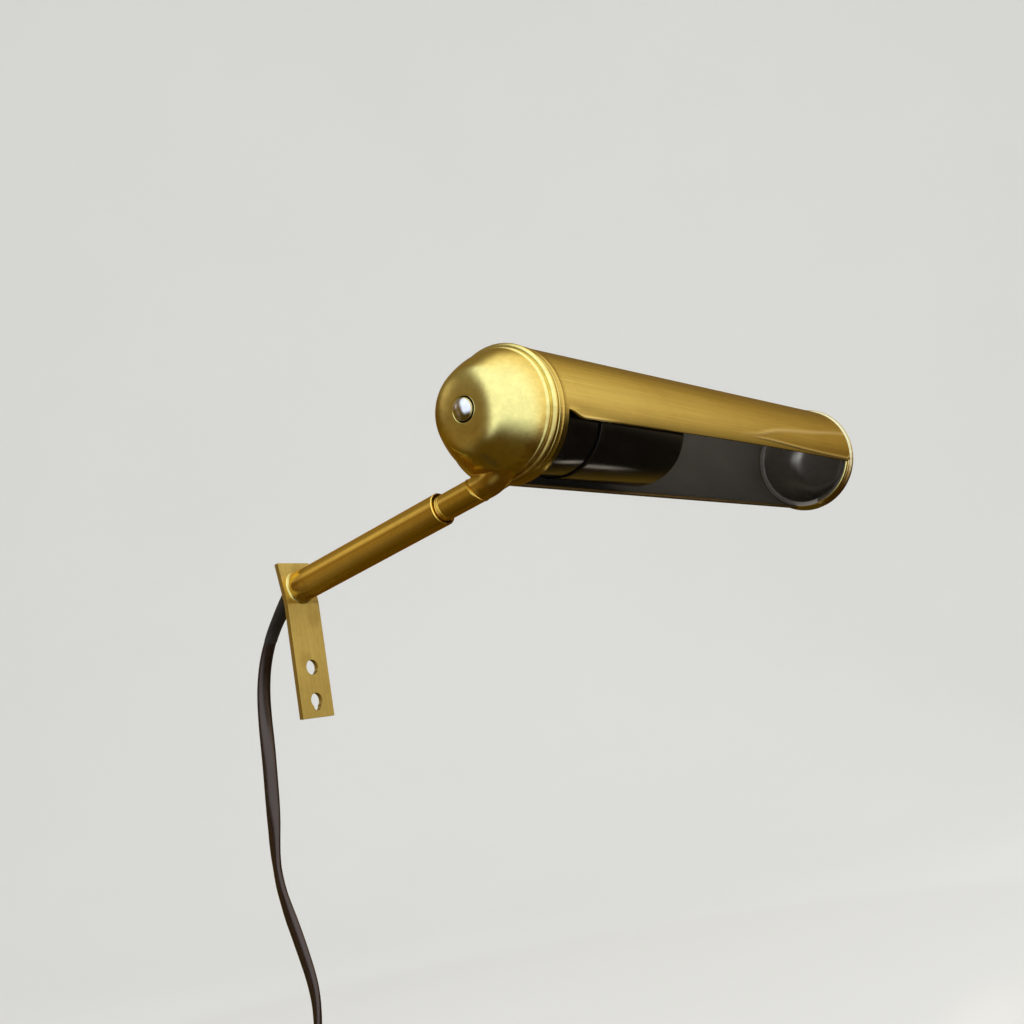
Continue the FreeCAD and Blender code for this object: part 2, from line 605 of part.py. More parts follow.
# The cord's hanging run, from the bushing behind the plate down to the coil.
cordRoute = vectors([
    (0.0, 6.0, 28.6), (0.0, 11.5, 24.3), (0.0, 18.6, 16.6), (0.0, 24.4, 7.6),
    (0.0, 28.2, -3.5), (0.0, 29.7, -15.5), (0.0, 30.2, -29.0), (0.0, 31.2, -43.0),
    (0.0, 32.4, -57.0), (0.0, 34.3, -70.0), (0.0, 33.8, -82.0), (0.0, 31.0, -92.0),
    (0.0, 27.8, -101.0), (0.0, 24.9, -110.0), (0.0, 22.3, -119.0), (-0.2, 21.2, -128.0),
    (-1.2, 21.4, -138.5), (-4.2, 21.8, -149.5), (-8.3, 21.9, -160.5), (-11.3, 21.9, -171.0),
    (-12.4, 21.9, -181.75),
])
# Its tail, from the coil down to the plug.
tailRoute = vectors([
    (-12.4, 21.9, -212.25), (-6.8, 21.9, -223.0), (-3.4, 21.9, -233.0),
    (-2.2, 21.9, -242.5), (-2.0, 21.9, -252.0),
])


def makeCord():
    flange = armDisc("BushingFlange", "dims.bushingFlange",
                     "-dims.plateThick - dims.bushingThick", "-dims.plateThick")
    plugIn = armDisc("BushingSleeve", "dims.cordHoleRadius", "-dims.plateThick", "0")
    away = cordRoute[0] - cordRoute[1]
    nose = doc.addObject("Part::Cylinder", "BushingNose")
    bind(nose, Radius="dims.bushingNose", Height="5")
    nose.Placement = FreeCAD.Placement(cordRoute[0],
                                       FreeCAD.Rotation(FreeCAD.Vector(0, 0, 1), away))
    keep(fuse("Bushing", flange, plugIn, nose), "cord_bushing")

    coil = doc.addObject("Part::Torus", "Coil")
    bind(coil, Radius1="dims.coilRadius", Radius2="dims.coilSection")
    seat(coil, "dims.coilX", "dims.coilY", "dims.coilZ", alongY)
    keep(coil, "cord_coil")
    for name, points, label in (("Hanging", cordRoute, "mains_cord"),
                                ("Tail", tailRoute, "cord_tail")):
        run = pipe(name, points, size("cordRadius"))
        core = doc.addObject("Part::Torus", name + "Core")
        bind(core, Radius1="dims.coilRadius", Radius2="dims.coilSection")
        seat(core, "dims.coilX", "dims.coilY", "dims.coilZ", alongY)
        keep(cut(name + "Cord", run, core), label)

    tie = []
    for name, radius, extra in (("TieBand", "dims.tieBore + dims.tieThick", 0),
                                ("TieBore", "dims.tieBore", 1)):
        band = doc.addObject("Part::Cylinder", name)
        bind(band, Radius=radius, Height=f"dims.tieWide + {2 * extra}")
        seat(band, f"dims.coilX - dims.tieWide / 2 - {extra}", "dims.coilY",
             "dims.coilZ + dims.coilRadius", alongX)
        tie.append(band)
    keep(cut("Tie", *tie), "cord_tie")


def makePlug():
    """A two-pin plug: a flat waisted body under a round neck."""
    last = tailRoute[-1]
    blank = doc.addObject("Part::Box", "PlugBlank")
    bind(blank, Length="dims.plugWide", Width="dims.plugThick",
         Height="dims.plugLong - dims.plugNeck")
    seat(blank, f"{last.x} - dims.plugWide / 2", f"{last.y} - dims.plugThick / 2",
         "dims.plugTop - dims.plugLong", FreeCAD.Rotation())
    blank = roundEdges("PlugRounded", blank, size("plugThick") / 2 - 0.6,
                       lambda e: e.BoundBox.ZLength > size("plugThick"))
    neck = doc.addObject("Part::Cone", "PlugNeck")
    bind(neck, Radius1="dims.plugThick / 2 - 0.4", Radius2="dims.cordRadius + 1.3",
         Height="dims.plugNeck")
    seat(neck, f"{last.x}", f"{last.y}", "dims.plugTop - dims.plugNeck", FreeCAD.Rotation())
    keep(fuse("Plug", blank, neck), "plug_body")

    pins = doc.addObject("Part::Compound", "Pins")
    links = []
    for side in (-1, 1):
        pin = doc.addObject("Part::Cylinder", f"Pin{'AB'[side > 0]}")
        bind(pin, Radius="dims.pinRadius", Height="dims.pinLong")
        seat(pin, f"{last.x} + {side} * dims.pinApart / 2", f"{last.y}",
             "dims.plugTop - dims.plugLong - dims.pinLong", FreeCAD.Rotation())
        links.append(pin)
    pins.Links = links
    keep(pins, "plug_pins")


def makeLeads():
    """The two cores that climb from the neck's mouth to the switch."""
    low, high = size("shadeZ") - 21.5, size("shadeZ") - size("switchRadius") - 0.4
    middle = size("shadeY")
    leads = doc.addObject("Part::Compound", "Leads")
    links = []
    for name, side in (("LeadA", -1.0), ("LeadB", 1.0)):
        points = vectors([(0.6, middle + 0.9 * side, low), (0.2, middle + 1.1 * side, low + 4),
                          (-1.2, middle + 1.2 * side, low + 8.5), (-2.6, middle + side, high)])
        links.append(pipe(name, points, 0.8))
    leads.Links = links
    keep(leads, "switch_leads")


makePlate()
makeArm()
makeNearCap()
makeSwitch()
makeHolder()
makeShade()
makeFarCap()
makeCord()
makePlug()
makeLeads()
doc.recompute()

# ---------------------------------------------------------------- checks and export
broken = [thing.Name for thing in doc.Objects
          if "Invalid" in thing.State or "Error" in thing.State]
for thing in nodes:
    shape = thing.Shape
    if shape.isNull() or not shape.isValid() or not shape.Solids:
        broken.append(thing.Label)
if broken:
    raise RuntimeError("not built: " + ", ".join(broken))
for thing in nodes:
    thing.Shape.exportStep(f"parts/{thing.Label}.step")
    box = thing.Shape.BoundBox
    print(f"{thing.Label}: {thing.Shape.Volume:.0f} mm3, {len(thing.Shape.Solids)} solid(s), "
          f"x {box.XMin:.1f}..{box.XMax:.1f}, y {box.YMin:.1f}..{box.YMax:.1f}, "
          f"z {box.ZMin:.1f}..{box.ZMax:.1f}")
print(len(nodes), "sub-parts written")
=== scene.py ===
from math import atan2, cos, degrees, pi, radians, sin, tau

import bpy
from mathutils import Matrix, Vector, noise


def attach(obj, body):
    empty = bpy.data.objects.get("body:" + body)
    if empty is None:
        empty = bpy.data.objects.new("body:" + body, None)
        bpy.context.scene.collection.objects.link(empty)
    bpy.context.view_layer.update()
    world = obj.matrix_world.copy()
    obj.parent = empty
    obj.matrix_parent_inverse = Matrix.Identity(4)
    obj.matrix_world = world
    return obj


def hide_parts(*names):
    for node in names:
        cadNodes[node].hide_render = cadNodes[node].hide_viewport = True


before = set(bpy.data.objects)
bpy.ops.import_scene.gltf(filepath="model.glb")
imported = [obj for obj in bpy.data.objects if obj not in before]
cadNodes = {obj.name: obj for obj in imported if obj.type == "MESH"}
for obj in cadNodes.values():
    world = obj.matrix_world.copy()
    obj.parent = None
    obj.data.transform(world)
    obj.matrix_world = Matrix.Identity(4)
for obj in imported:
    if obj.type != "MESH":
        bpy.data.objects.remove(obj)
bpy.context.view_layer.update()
bpy.context.scene.view_settings.view_transform = "Standard"
print("frame loaded:", len(cadNodes), "nodes")

xWay, yWay, zWay = Vector((1, 0, 0)), Vector((0, 1, 0)), Vector((0, 0, 1))
# Lines that the turned pieces share: a point, the way along and the way up.
armAngle = radians(9.2)
armOut = Vector((0, -cos(armAngle), sin(armAngle)))
armUp = Vector((0, sin(armAngle), cos(armAngle)))
armStart = Vector((0, -0.001, 0.0321))
armLine = (armStart, armOut, armUp)
shadeLine = (Vector((0, -0.1112, 0.07245)), xWay, zWay)

cameraView = {"place": (-0.34209, -0.36919, -0.03642), "turn": (99.8131, 9.4868, -51.4303),
              "lens": 43.95, "sensor": 36}
bpy.ops.object.camera_add(
    location=cameraView["place"], rotation=[radians(angle) for angle in cameraView["turn"]])
camera = bpy.context.object
camera.data.lens = cameraView["lens"]
camera.data.sensor_width = cameraView["sensor"]
camera.data.clip_start = 0.01
bpy.context.scene.camera = camera
print("camera placed")


def clearSelection():
    bpy.ops.object.select_all(action="DESELECT")


def makeActive(piece):
    clearSelection()
    piece.select_set(True)
    bpy.context.view_layer.objects.active = piece


def modify(piece, kind, **settings):
    makeActive(piece)
    modifier = piece.modifiers.new(kind.title(), kind)
    for setting, value in settings.items():
        setattr(modifier, setting, value)
    bpy.ops.object.modifier_apply(modifier=modifier.name)


def subdivide(piece, levels=1):
    modify(piece, "SUBSURF", levels=levels, render_levels=levels)


def roundEdges(piece, width, segments=3, angle=30):
    modify(piece, "BEVEL", width=width, segments=segments, limit_method="ANGLE",
           angle_limit=radians(angle))


def smoothSurface(piece, angle):
    makeActive(piece)
    bpy.ops.object.shade_smooth_by_angle(angle=radians(angle))


# Reads a value off a row of (place, value) points, straight between them.
def between(points, x):
    for (x0, v0), (x1, v1) in zip(points, points[1:]):
        if x <= x1:
            return v0 + (v1 - v0) * max(x - x0, 0) / (x1 - x0)
    return points[-1][1]


def eased(share):
    share = min(max(share, 0), 1)
    return share * share * (3 - 2 * share)


def mergeDoubles():
    bpy.ops.mesh.select_all(action="SELECT")
    bpy.ops.mesh.remove_doubles(threshold=0.000002)


# Fills the drawn outline and extrudes it step by step into a closed body.
def extrudeOutline(*steps):
    bpy.ops.mesh.edge_face_add()
    for step in steps:
        bpy.ops.mesh.extrude_region_move(TRANSFORM_OT_translate={"value": step})
    leaveMesh()


# Turns all faces outward, or inward, and leaves edit mode.
def leaveMesh(inside=False):
    bpy.ops.mesh.select_all(action="SELECT")
    bpy.ops.mesh.normals_make_consistent(inside=inside)
    bpy.ops.object.mode_set(mode="OBJECT")


# Extrudes one vertex from point to point and leaves the outline in edit mode.
def drawOutline(name, points, closed=True):
    clearSelection()
    bpy.ops.mesh.primitive_plane_add(size=0.002, location=(0, 0, 0))
    piece = bpy.context.object
    piece.name = piece.data.name = name
    bpy.ops.object.mode_set(mode="EDIT")
    bpy.ops.mesh.select_mode(type="VERT")
    bpy.ops.mesh.merge(type="CENTER")
    bpy.ops.transform.translate(value=points[0])
    path = points + [points[0]] if closed else points
    for before, after in zip(path, path[1:]):
        bpy.ops.mesh.extrude_vertices_move(TRANSFORM_OT_translate={"value": after - before})
    mergeDoubles()
    return piece


# Spins an outline of (along, radius) in millimetres round a line.
def turnedPiece(name, outline, line, steps=96, closed=True):
    start, along, up = line
    points = [start + along * (x / 1000) + up * (radius / 1000) for x, radius in outline]
    piece = drawOutline(name, points, closed)
    bpy.ops.mesh.spin(steps=steps, angle=tau, center=start, axis=along)
    mergeDoubles()
    leaveMesh()
    return piece


# A place seen from a line: millimetres along it and out from it, and the way out.
def fromLine(line, place):
    away = place - line[0]
    x = away.dot(line[1])
    away -= line[1] * x
    return x * 1000, away.length * 1000, away


# Points of an arc in an outline; angles in degrees, 0 along and 90 outward.
def arcPoints(x, radius, bend, first, last, count):
    angles = [radians(first + (last - first) * i / (count - 1)) for i in range(count)]
    return [(x + bend * cos(a), radius + bend * sin(a)) for a in angles]


def addFinishes(piece, *finishes):
    for finish in finishes:
        piece.data.materials.append(materials[finish])


# Smooths a finished piece, gives it its material if it has none, hangs it on its body and hides
# the nodes it stands for.
def settle(piece, angle, body, finish, nodes=()):
    if angle:
        smoothSurface(piece, angle)
    if not piece.data.materials:
        addFinishes(piece, finish)
    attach(piece, body)
    if nodes:
        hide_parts(*nodes)
    return piece


# A tube through rings of points that all have the same count.
def fromRings(name, rings, closeEnds=True):
    count = len(rings[0])
    places = [point for ring in rings for point in ring]
    faces = []
    for r in range(len(rings) - 1):
        for i in range(count):
            j = (i + 1) % count
            faces.append((r * count + i, r * count + j, (r + 1) * count + j, (r + 1) * count + i))
    if closeEnds:
        faces.append(tuple(range(count)))
        faces.append(tuple((len(rings) - 1) * count + i for i in range(count)))
    mesh = bpy.data.meshes.new(name)
    mesh.from_pydata([tuple(place) for place in places], [], faces)
    piece = bpy.data.objects.new(name, mesh)
    bpy.context.collection.objects.link(piece)
    makeActive(piece)
    bpy.ops.object.mode_set(mode="EDIT")
    leaveMesh()
    return piece


def link(output, target):
    output.id_data.links.new(output, target)


# Adds a node to the given tree, or to that of the sockets that lead to it; gives its outputs.
def addNode(kind, inputs, tree=None, **settings):
    linked = [value for value in inputs.values() if isinstance(value, bpy.types.NodeSocket)]
    node = (tree or linked[0].id_data).nodes.new("ShaderNode" + kind)
    for setting, value in settings.items():
        setattr(node, setting, value)
    for key, value in inputs.items():
        if isinstance(value, bpy.types.NodeSocket):
            link(value, node.inputs[key])
        elif value is not None:
            node.inputs[key].default_value = value
    return node.outputs


def calculate(operation, first, second=0, third=0, clamp=False):
    return addNode(
        "Math", {0: first, 1: second, 2: third}, operation=operation, use_clamp=clamp)[0]


def times(first, second, clamp=False):
    return calculate("MULTIPLY", first, second, clamp=clamp)


def plus(first, second, clamp=False):
    return calculate("ADD", first, second, clamp=clamp)


def minus(first, second):
    return calculate("SUBTRACT", first, second)


def withVectors(operation, first, second=None):
    results = addNode("VectorMath", {0: first, 1: second}, operation=operation)
    return results["Value" if operation in ("DISTANCE", "DOT_PRODUCT", "LENGTH") else 0]


def blend(factor, first, second, how="MIX"):
    return addNode("Mix", {0: factor, 6: first, 7: second}, data_type="RGBA", blend_type=how)[2]


def spread(value, low, high, least=0, most=1):
    return addNode("MapRange", {"Value": value, "From Min": low, "From Max": high, "To Min": least,
                                "To Max": most}, interpolation_type="SMOOTHSTEP")[0]


def speckle(place, scale, detail, roughness=0.5):
    return addNode("TexNoise", {
        "Vector": place, "Scale": scale, "Detail": detail, "Roughness": roughness})["Fac"]


def bumps(strength, distance, height, normal=None):
    return addNode("Bump", {
        "Strength": strength, "Distance": distance, "Height": height, "Normal": normal})[0]


# Starts a node group; its sockets stand in a row for each kind, the place first.
def newGroup(name, inputs, outputs):
    group = bpy.data.node_groups.new(name, "ShaderNodeTree")
    for way, sockets in (("INPUT", inputs), ("OUTPUT", outputs)):
        for kind, labels in sockets.items():
            for label in labels.split(", "):
                group.interface.new_socket(label, in_out=way, socket_type="NodeSocket" + kind)
    given = group.nodes.new("NodeGroupInput").outputs
    return group, given[0], given, group.nodes.new("NodeGroupOutput").inputs


skinResults = {"Color": "Colour", "Float": "Roughness", "Vector": "Normal"}


# Metal with cloudy tarnish, fine grain lines and slight hand-made dents.
def makeAgedMetal():
    group, place, given, result = newGroup("agedMetal", {
        "Vector": "Place, Grain Place", "Color": "Bright, Tarnish",
        "Float": "Amount, Rough, Rough Spread, Grain, Dents"}, skinResults)
    clouds = speckle(place, 26, 4, 0.55)
    specks = speckle(place, 420, 6, 0.62)
    grain = speckle(given["Grain Place"], 1, 3, 0.7)
    swells = speckle(place, 70, 1, 0.4)
    stained = spread(plus(clouds, times(specks, 0.35)), 0.55, 0.95)
    dots = times(spread(specks, 0.62, 0.74), 0.5)
    mask = times(given["Amount"], plus(stained, dots), clamp=True)
    colour = blend(mask, given["Bright"], given["Tarnish"])
    lined = spread(grain, 0.3, 0.75, 0.92, 1.06)
    colour = addNode("HueSaturation", {"Color": colour, "Value": lined})[0]
    link(colour, result["Colour"])
    uneven = plus(minus(specks, 0.45), times(minus(grain, 0.5), 0.6))
    rough = plus(given["Rough"], times(uneven, given["Rough Spread"]))
    rough = plus(rough, times(mask, 0.12), clamp=True)
    link(rough, result["Roughness"])
    fine = bumps(given["Grain"], 0.0002, grain)
    link(bumps(given["Dents"], 0.002, swells, fine), result["Normal"])
    return group


# A ragged brown spot round a point, as a mask: painted shade on the dome, the neck and the far
# rim; darker patches on the arm's foot and the plate.
def makeDarkSpot():
    group, place, given, result = newGroup("darkSpot", {
        "Vector": "Place, Centre", "Float": "Reach, Depth"}, {"Float": "Mask"})
    away = withVectors("DISTANCE", place, given["Centre"])
    ragged = speckle(place, 260, 5, 0.6)
    edge = plus(calculate("DIVIDE", away, given["Reach"]), times(minus(ragged, 0.5), 1.2))
    link(times(spread(edge, 1, 0.2), given["Depth"]), result["Mask"])
    return group


# Moulded plastic: faint mottling, dust in patches and fine pores.
def makeMoulded():
    group, place, given, result = newGroup("mouldedSkin", {
        "Vector": "Place", "Color": "Base, Dust", "Float": "Dusty, Rough, Bumps, Size"},
        skinResults)
    mottle = speckle(place, 60, 5, 0.6)
    pores = speckle(place, given["Size"], 3, 0.6)
    dusty = times(given["Dusty"], spread(times(mottle, pores), 0.18, 0.42))
    link(blend(dusty, given["Base"], given["Dust"]), result["Colour"])
    rough = plus(given["Rough"], times(minus(mottle, 0.5), 0.2))
    rough = plus(rough, times(dusty, 0.5), clamp=True)
    link(rough, result["Roughness"])
    link(bumps(given["Bumps"], 0.0001, pores), result["Normal"])
    return group


# Two soft creases in the sheet that part towards the far end, the flat between them and the
# window's edge near its near end, as masks: they give bumps, painted highlight lines on the
# creases and the edge, and painted shade on the flat.
# Each line is (along, back from the edge) in shares of 300 and 30 millimetres.
def makeCreaseSheenAndShade():
    group, place, given, result = newGroup(
        "creaseSheenAndShade", {"Vector": "Place"}, {"Float": "Line, Facet"})
    along, back = addNode("SeparateXYZ", {0: place})[:2]
    strength = spread(along, 0.43, 0.58)
    places, lines = [], []
    for points, width in (([(0.4, 0.13), (0.543, 0.107), (0.69, 0.058), (0.833, 0.043)], 0.035),
                          ([(0.47, 0.125), (0.6, 0.29), (0.703, 0.353), (0.833, 0.447)], 0.06)):
        middle = addNode("FloatCurve", {"Value": along})[0]
        mapping = middle.node.mapping
        knots = mapping.curves[0].points
        knots[0].location, knots[1].location = (0, points[0][1]), (1, points[-1][1])
        for x, value in points:
            knots.new(x, value)
        mapping.update()
        places.append(middle)
        gap = calculate("ABSOLUTE", minus(back, middle))
        lines.append(spread(gap, width, 0))
    both = times(calculate("MAXIMUM", lines[0], lines[1]), strength)
    # A painted highlight along the window's upper edge near its near end.
    lip = times(spread(along, 0.04, 0.06), spread(along, 0.16, 0.09))
    lip = times(lip, spread(back, 0.045, 0.01))
    link(calculate("MAXIMUM", both, lip), result["Line"])
    inner = times(
        calculate("GREATER_THAN", back, places[0]), calculate("LESS_THAN", back, places[1]))
    depth = addNode("MapRange", {
        "Value": back, "From Min": places[1], "From Max": places[0], "To Min": 0.2, "To Max": 1})
    link(times(times(inner, depth[0]), strength), result["Facet"])
    return group


agedMetal, darkSpot, mouldedSkin = makeAgedMetal(), makeDarkSpot(), makeMoulded()
creaseSheenAndShade = makeCreaseSheenAndShade()
materials = {}


# Starts a material with its plain values and keeps it under its name.
def startMaterial(name, **plain):
    materials[name] = bpy.data.materials.new(name)
    materials[name].use_nodes = True
    tree = materials[name].node_tree
    shader = tree.nodes["Principled BSDF"]
    for label, value in plain.items():
        shader.inputs[label.replace("_", " ")].default_value = value
    return shader, addNode("TexCoord", {}, tree)["Object"]


def useGroup(group, inputs):
    return addNode("Group", inputs, node_tree=group)


def connectSkin(shader, skin, colour=None, normal=None):
    link(colour or skin["Colour"], shader.inputs["Base Color"])
    link(skin["Roughness"], shader.inputs["Roughness"])
    link(normal or skin["Normal"], shader.inputs["Normal"])


def metalLook(bright, tarnish, amount, rough, roughSpread, grain, dents):
    return {"Bright": (*bright, 1), "Tarnish": (*tarnish, 1), "Amount": amount, "Rough": rough,
            "Rough Spread": roughSpread, "Grain": grain, "Dents": dents}


def plasticLook(base, dust, dusty, rough, pores, size):
    return {"Base": (*base, 1), "Dust": (*dust, 1), "Dusty": dusty, "Rough": rough,
            "Bumps": pores, "Size": size}


# Grain lines run where grainScale is small; dark spots are (centre, reach, depth).
def metalMaterial(name, look, grainScale, grainTurn=(0, 0, 0), darkSpots=(), lacquer=0,
                  rim=(1, 1, 1, 1), creasedAndShaded=False):
    shader, place = startMaterial(
        name, Metallic=1, Coat_Weight=lacquer, Coat_Roughness=0.12, Specular_Tint=rim)
    lines = addNode("Mapping", {"Vector": place, "Rotation": grainTurn})[0]
    lines = addNode("Mapping", {"Vector": lines, "Scale": grainScale})[0]
    skin = useGroup(agedMetal, {"Place": place, "Grain Place": lines, **look})
    colour, normal = skin["Colour"], skin["Normal"]
    # Each dark spot blends the colour towards the tarnish-and-shade colour.
    for centre, reach, depth in darkSpots:
        spot = useGroup(
            darkSpot, {"Place": place, "Centre": centre, "Reach": reach, "Depth": depth})
        colour = blend(spot["Mask"], colour, look["Tarnish"])
    if creasedAndShaded:
        sheetMap = addNode("UVMap", {}, shader.id_data, uv_map="sheetMap")[0]
        creaseLightMasks = useGroup(creaseSheenAndShade, {"Place": sheetMap})
        # Painted shade on the flat between the creases, painted highlight lines on the creases and
        # the edge, and their bump.
        colour = blend(times(creaseLightMasks["Facet"], 0.22), colour, look["Tarnish"])
        colour = blend(times(creaseLightMasks["Line"], 0.75), colour, (1, 0.88, 0.5, 1))
        normal = bumps(0.2, 0.0006, minus(creaseLightMasks["Line"], creaseLightMasks["Facet"]), normal)
    connectSkin(shader, skin, colour, normal)


def plasticMaterial(name, look, **plain):
    shader, place = startMaterial(name, **plain)
    connectSkin(shader, useGroup(mouldedSkin, {"Place": place, **look}))


# Old flat flex: dark brown sheath, a long soft sheen and faint lines along it.
def makeFlexMaterial():
    shader, place = startMaterial(
        "flexSheath", Specular_IOR_Level=0.8, Specular_Tint=(1, 0.78, 0.7, 1),
        Coat_Weight=0.1, Coat_Roughness=0.25)
    flexMap = addNode("UVMap", {}, shader.id_data, uv_map="flexMap")[0]
    drawn = addNode("Mapping", {"Vector": flexMap, "Scale": (60, 4, 1)})[0]
    lines = speckle(drawn, 1, 3)
    look = plasticLook((0.008, 0.0035, 0.003), (0.035, 0.023, 0.021), 0.2, 0.27, 0.1, 600)
    skin = useGroup(mouldedSkin, {"Place": place, **look})
    colour = blend(spread(lines, 0.45, 0.7, 0, 0.4), skin["Colour"], (0.015, 0.0085, 0.008, 1))
    connectSkin(shader, skin, colour, bumps(0.1, 0.0002, lines, skin["Normal"]))


# Brown tarnish; the painted shade spots on the dome and far rim, and the painted shade between the
# sheet's creases, blend to it too.
tarnish = (0.3, 0.16, 0.03)
shadeLook = metalLook((0.72, 0.585, 0.205), tarnish, 0.18, 0.23, 0.1, 0.06, 0.035)
armLook = metalLook((0.96, 0.68, 0.15), (0.3, 0.14, 0.02), 0.2, 0.2, 0.1, 0.06, 0.02)
armTurn, armRim, shadeRim = (armAngle, 0, 0), (0.85, 0.65, 0.35, 1), (0.66, 0.5, 0.3, 1)
# The dome's dark spots are painted shade: on its back, on its lower back and along the bead's
# lower front and bottom.
metalMaterial(
    "domeBrass", metalLook((0.8, 0.68, 0.25), tarnish, 0.06, 0.23, 0.04, 0, 0.025),
    (350,) * 3, lacquer=0.1, rim=(0.8, 0.62, 0.3, 1), darkSpots=[
        ((-0.014, -0.094, 0.0745), 0.013, 0.5), ((-0.01, -0.1, 0.054), 0.014, 0.3),
        ((0.003, -0.1345, 0.0625), 0.009, 0.45), ((0.003, -0.1283, 0.0545), 0.0115, 0.6),
        ((0.003, -0.116, 0.0475), 0.01, 0.6)])
# The neck's dark spot is painted shade where the neck blends into the dome's underside.
metalMaterial("neckBrass", armLook | {"Bright": (0.84, 0.59, 0.14, 1)}, (350,) * 3, rim=armRim,
              darkSpots=[((-0.005, -0.1087, 0.0487), 0.009, 0.5)])
metalMaterial("shadeBrass", shadeLook, (14, 1200, 1200), rim=shadeRim)
metalMaterial("sheetBrass", shadeLook, (14, 1200, 1200), rim=shadeRim, creasedAndShaded=True)
# A paler metal for the far bead's outer band, a painted highlight, with a dark spot on its lower
# front that is painted shade.
metalMaterial("rimSheenAndShadeMetal", metalLook((0.68, 0.64, 0.42), tarnish, 0.2, 0.2, 0.1, 0.02, 0.03),
              (400,) * 3, darkSpots=[((0.2555, -0.129, 0.054), 0.022, 0.9)])
metalMaterial("armBrass", armLook, (1100, 12, 1100), armTurn, lacquer=0.1, rim=armRim,
              darkSpots=[((-0.002, -0.003, 0.032), 0.011, 0.75)])
metalMaterial("stemBrass", armLook | {"Grain": 0.14}, (300, 2200, 300), armTurn, rim=armRim)
metalMaterial(
    "plateBrass", metalLook((0.71, 0.575, 0.21), (0.3, 0.19, 0.04), 0.25, 0.3, 0.14, 0.12, 0.07),
    (1300, 1300, 30), darkSpots=[
        ((0.004, -0.002, 0.02), 0.006, 0.3), ((0.003, -0.003, 0.04), 0.008, 0.4),
        ((-0.003, -0.002, 0.003), 0.0045, 0.3)])
for name, grain, *look in (
        ("bowlMetal", 400, (0.42, 0.375, 0.33), (0.3, 0.26, 0.23), 0.15, 0.34, 0.08, 0.02, 0.02),
        # A darker brass for the window's lower edge and hem: painted shade.
        ("shadedEdgeBrass", 400, (0.26, 0.185, 0.085), (0.1, 0.06, 0.02), 0.5, 0.4, 0.1, 0.05, 0.02),
        ("innerBrass", 300, (0.62, 0.45, 0.16), (0.14, 0.08, 0.02), 0.6, 0.38, 0.2, 0.1, 0.03),
        ("solderMetal", 500, (0.74, 0.58, 0.2), (0.3, 0.2, 0.08), 0.3, 0.26, 0.2, 0.15, 0.3),
        ("chromePlate", 700, (0.68, 0.67, 0.72), (0.3, 0.27, 0.27), 0.15, 0.14, 0.1, 0.05, 0.03),
        ("springSteel", 600, (0.55, 0.54, 0.53), (0.22, 0.19, 0.17), 0.4, 0.3, 0.2, 0.1, 0.02)):
    metalMaterial(name, metalLook(*look), (grain,) * 3)
for name, shine, *look in (
        ("shadeInside", 0.5, (0.13, 0.115, 0.098), (0.19, 0.17, 0.145), 0.35, 0.5, 0.08, 400),
        # A pale grey for half of the far cap's lip ring: painted highlight.
        ("lipSheenGrey", 0.5, (0.3, 0.27, 0.255), (0.16, 0.13, 0.11), 0.4, 0.35, 0.08, 500),
        ("holderPlastic", 0.55, (0.0035, 0.003, 0.003), (0.05, 0.042, 0.04), 0.05, 0.13, 0.03,
         500),
        ("insulatorCeramic", 0.5, (0.55, 0.5, 0.42), (0.25, 0.2, 0.15), 0.5, 0.35, 0.12, 700),
        ("plugPlastic", 0.5, (0.014, 0.011, 0.011), (0.1, 0.085, 0.08), 0.2, 0.4, 0.3, 1500),
        ("tieRubber", 0.5, (0.016, 0.015, 0.016), (0.1, 0.1, 0.1), 0.25, 0.6, 0.4, 1100)):
    plasticMaterial(name, plasticLook(*look), Specular_IOR_Level=shine)
makeFlexMaterial()
print("materials made:", len(materials))

# Finishes of the nodes that stay as they are.
keptFinishes = {
    "innerBrass": "arm_guide_bush, friction_sleeve, sleeve_collars, holder_bar, threaded_nipple, "
                  "nipple_nut, screw_shell, centre_contact, terminal_screws",
    "springSteel": "switch_spring, shade_snap_ring",
    "insulatorCeramic": "holder_insert, switch_spacer",
    "plugPlastic": "switch_body, arm_lead, switch_leads"}
for finish, names in keptFinishes.items():
    for name in names.split(", "):
        cadNodes[name].data.materials.clear()
        addFinishes(cadNodes[name], finish)


flexSizes = {
    "wide": 0.0058, "thick": 0.0033, "length": 1.8, "exit": (0, 0.006, 0.0286),
    "coilCentre": (0.014, 0.0219, -0.197), "coilRadius": 0.0305, "bundle": 0.0057, "perTurn": 16,
    "turns": 8 + 1 / 6, "firstAngle": 150, "sectionTurn": 40, "mapScale": 10}
# The flex's hanging run down to its coil and its tail below it, in millimetres.
flexRoute = [(0, 6, 28.6), (0, 11.5, 24.3), (0, 18.6, 16.6), (0, 24.4, 7.6), (0, 28.2, -3.5),
             (0, 29.7, -15.5), (0, 30.2, -29), (0, 31.2, -43), (0, 32.4, -57), (0, 34.3, -70),
             (0, 33.8, -82), (0, 31, -92), (0, 27.8, -101), (0, 24.9, -110), (0, 22.3, -119),
             (-0.2, 21.2, -128), (-1.2, 21.4, -138.5), (-4.2, 21.8, -149.5), (-8.3, 21.9, -160.5),
             (-11.3, 21.9, -171)]
flexTail = [(-6.8, 21.9, -223), (-3.4, 21.9, -233), (-2.2, 21.9, -242.5), (-2, 21.9, -252),
            (-2, 21.9, -253.5)]
# Which way the flex's wide side points, in degrees from +X towards -Y, by depth below the arm.
flexTwist = [
    (-0.03, 0), (-0.01, -4), (0.009, -20), (0.025, -50), (0.044, -53), (0.059, -91), (0.071, -118),
    (0.082, -104), (0.094, -83), (0.117, -95), (0.128, -121), (0.15, -165), (0.171, -180)]


def twistAt(height):
    angle = radians(between(flexTwist, -height))
    return Vector((cos(angle), sin(angle), 0))


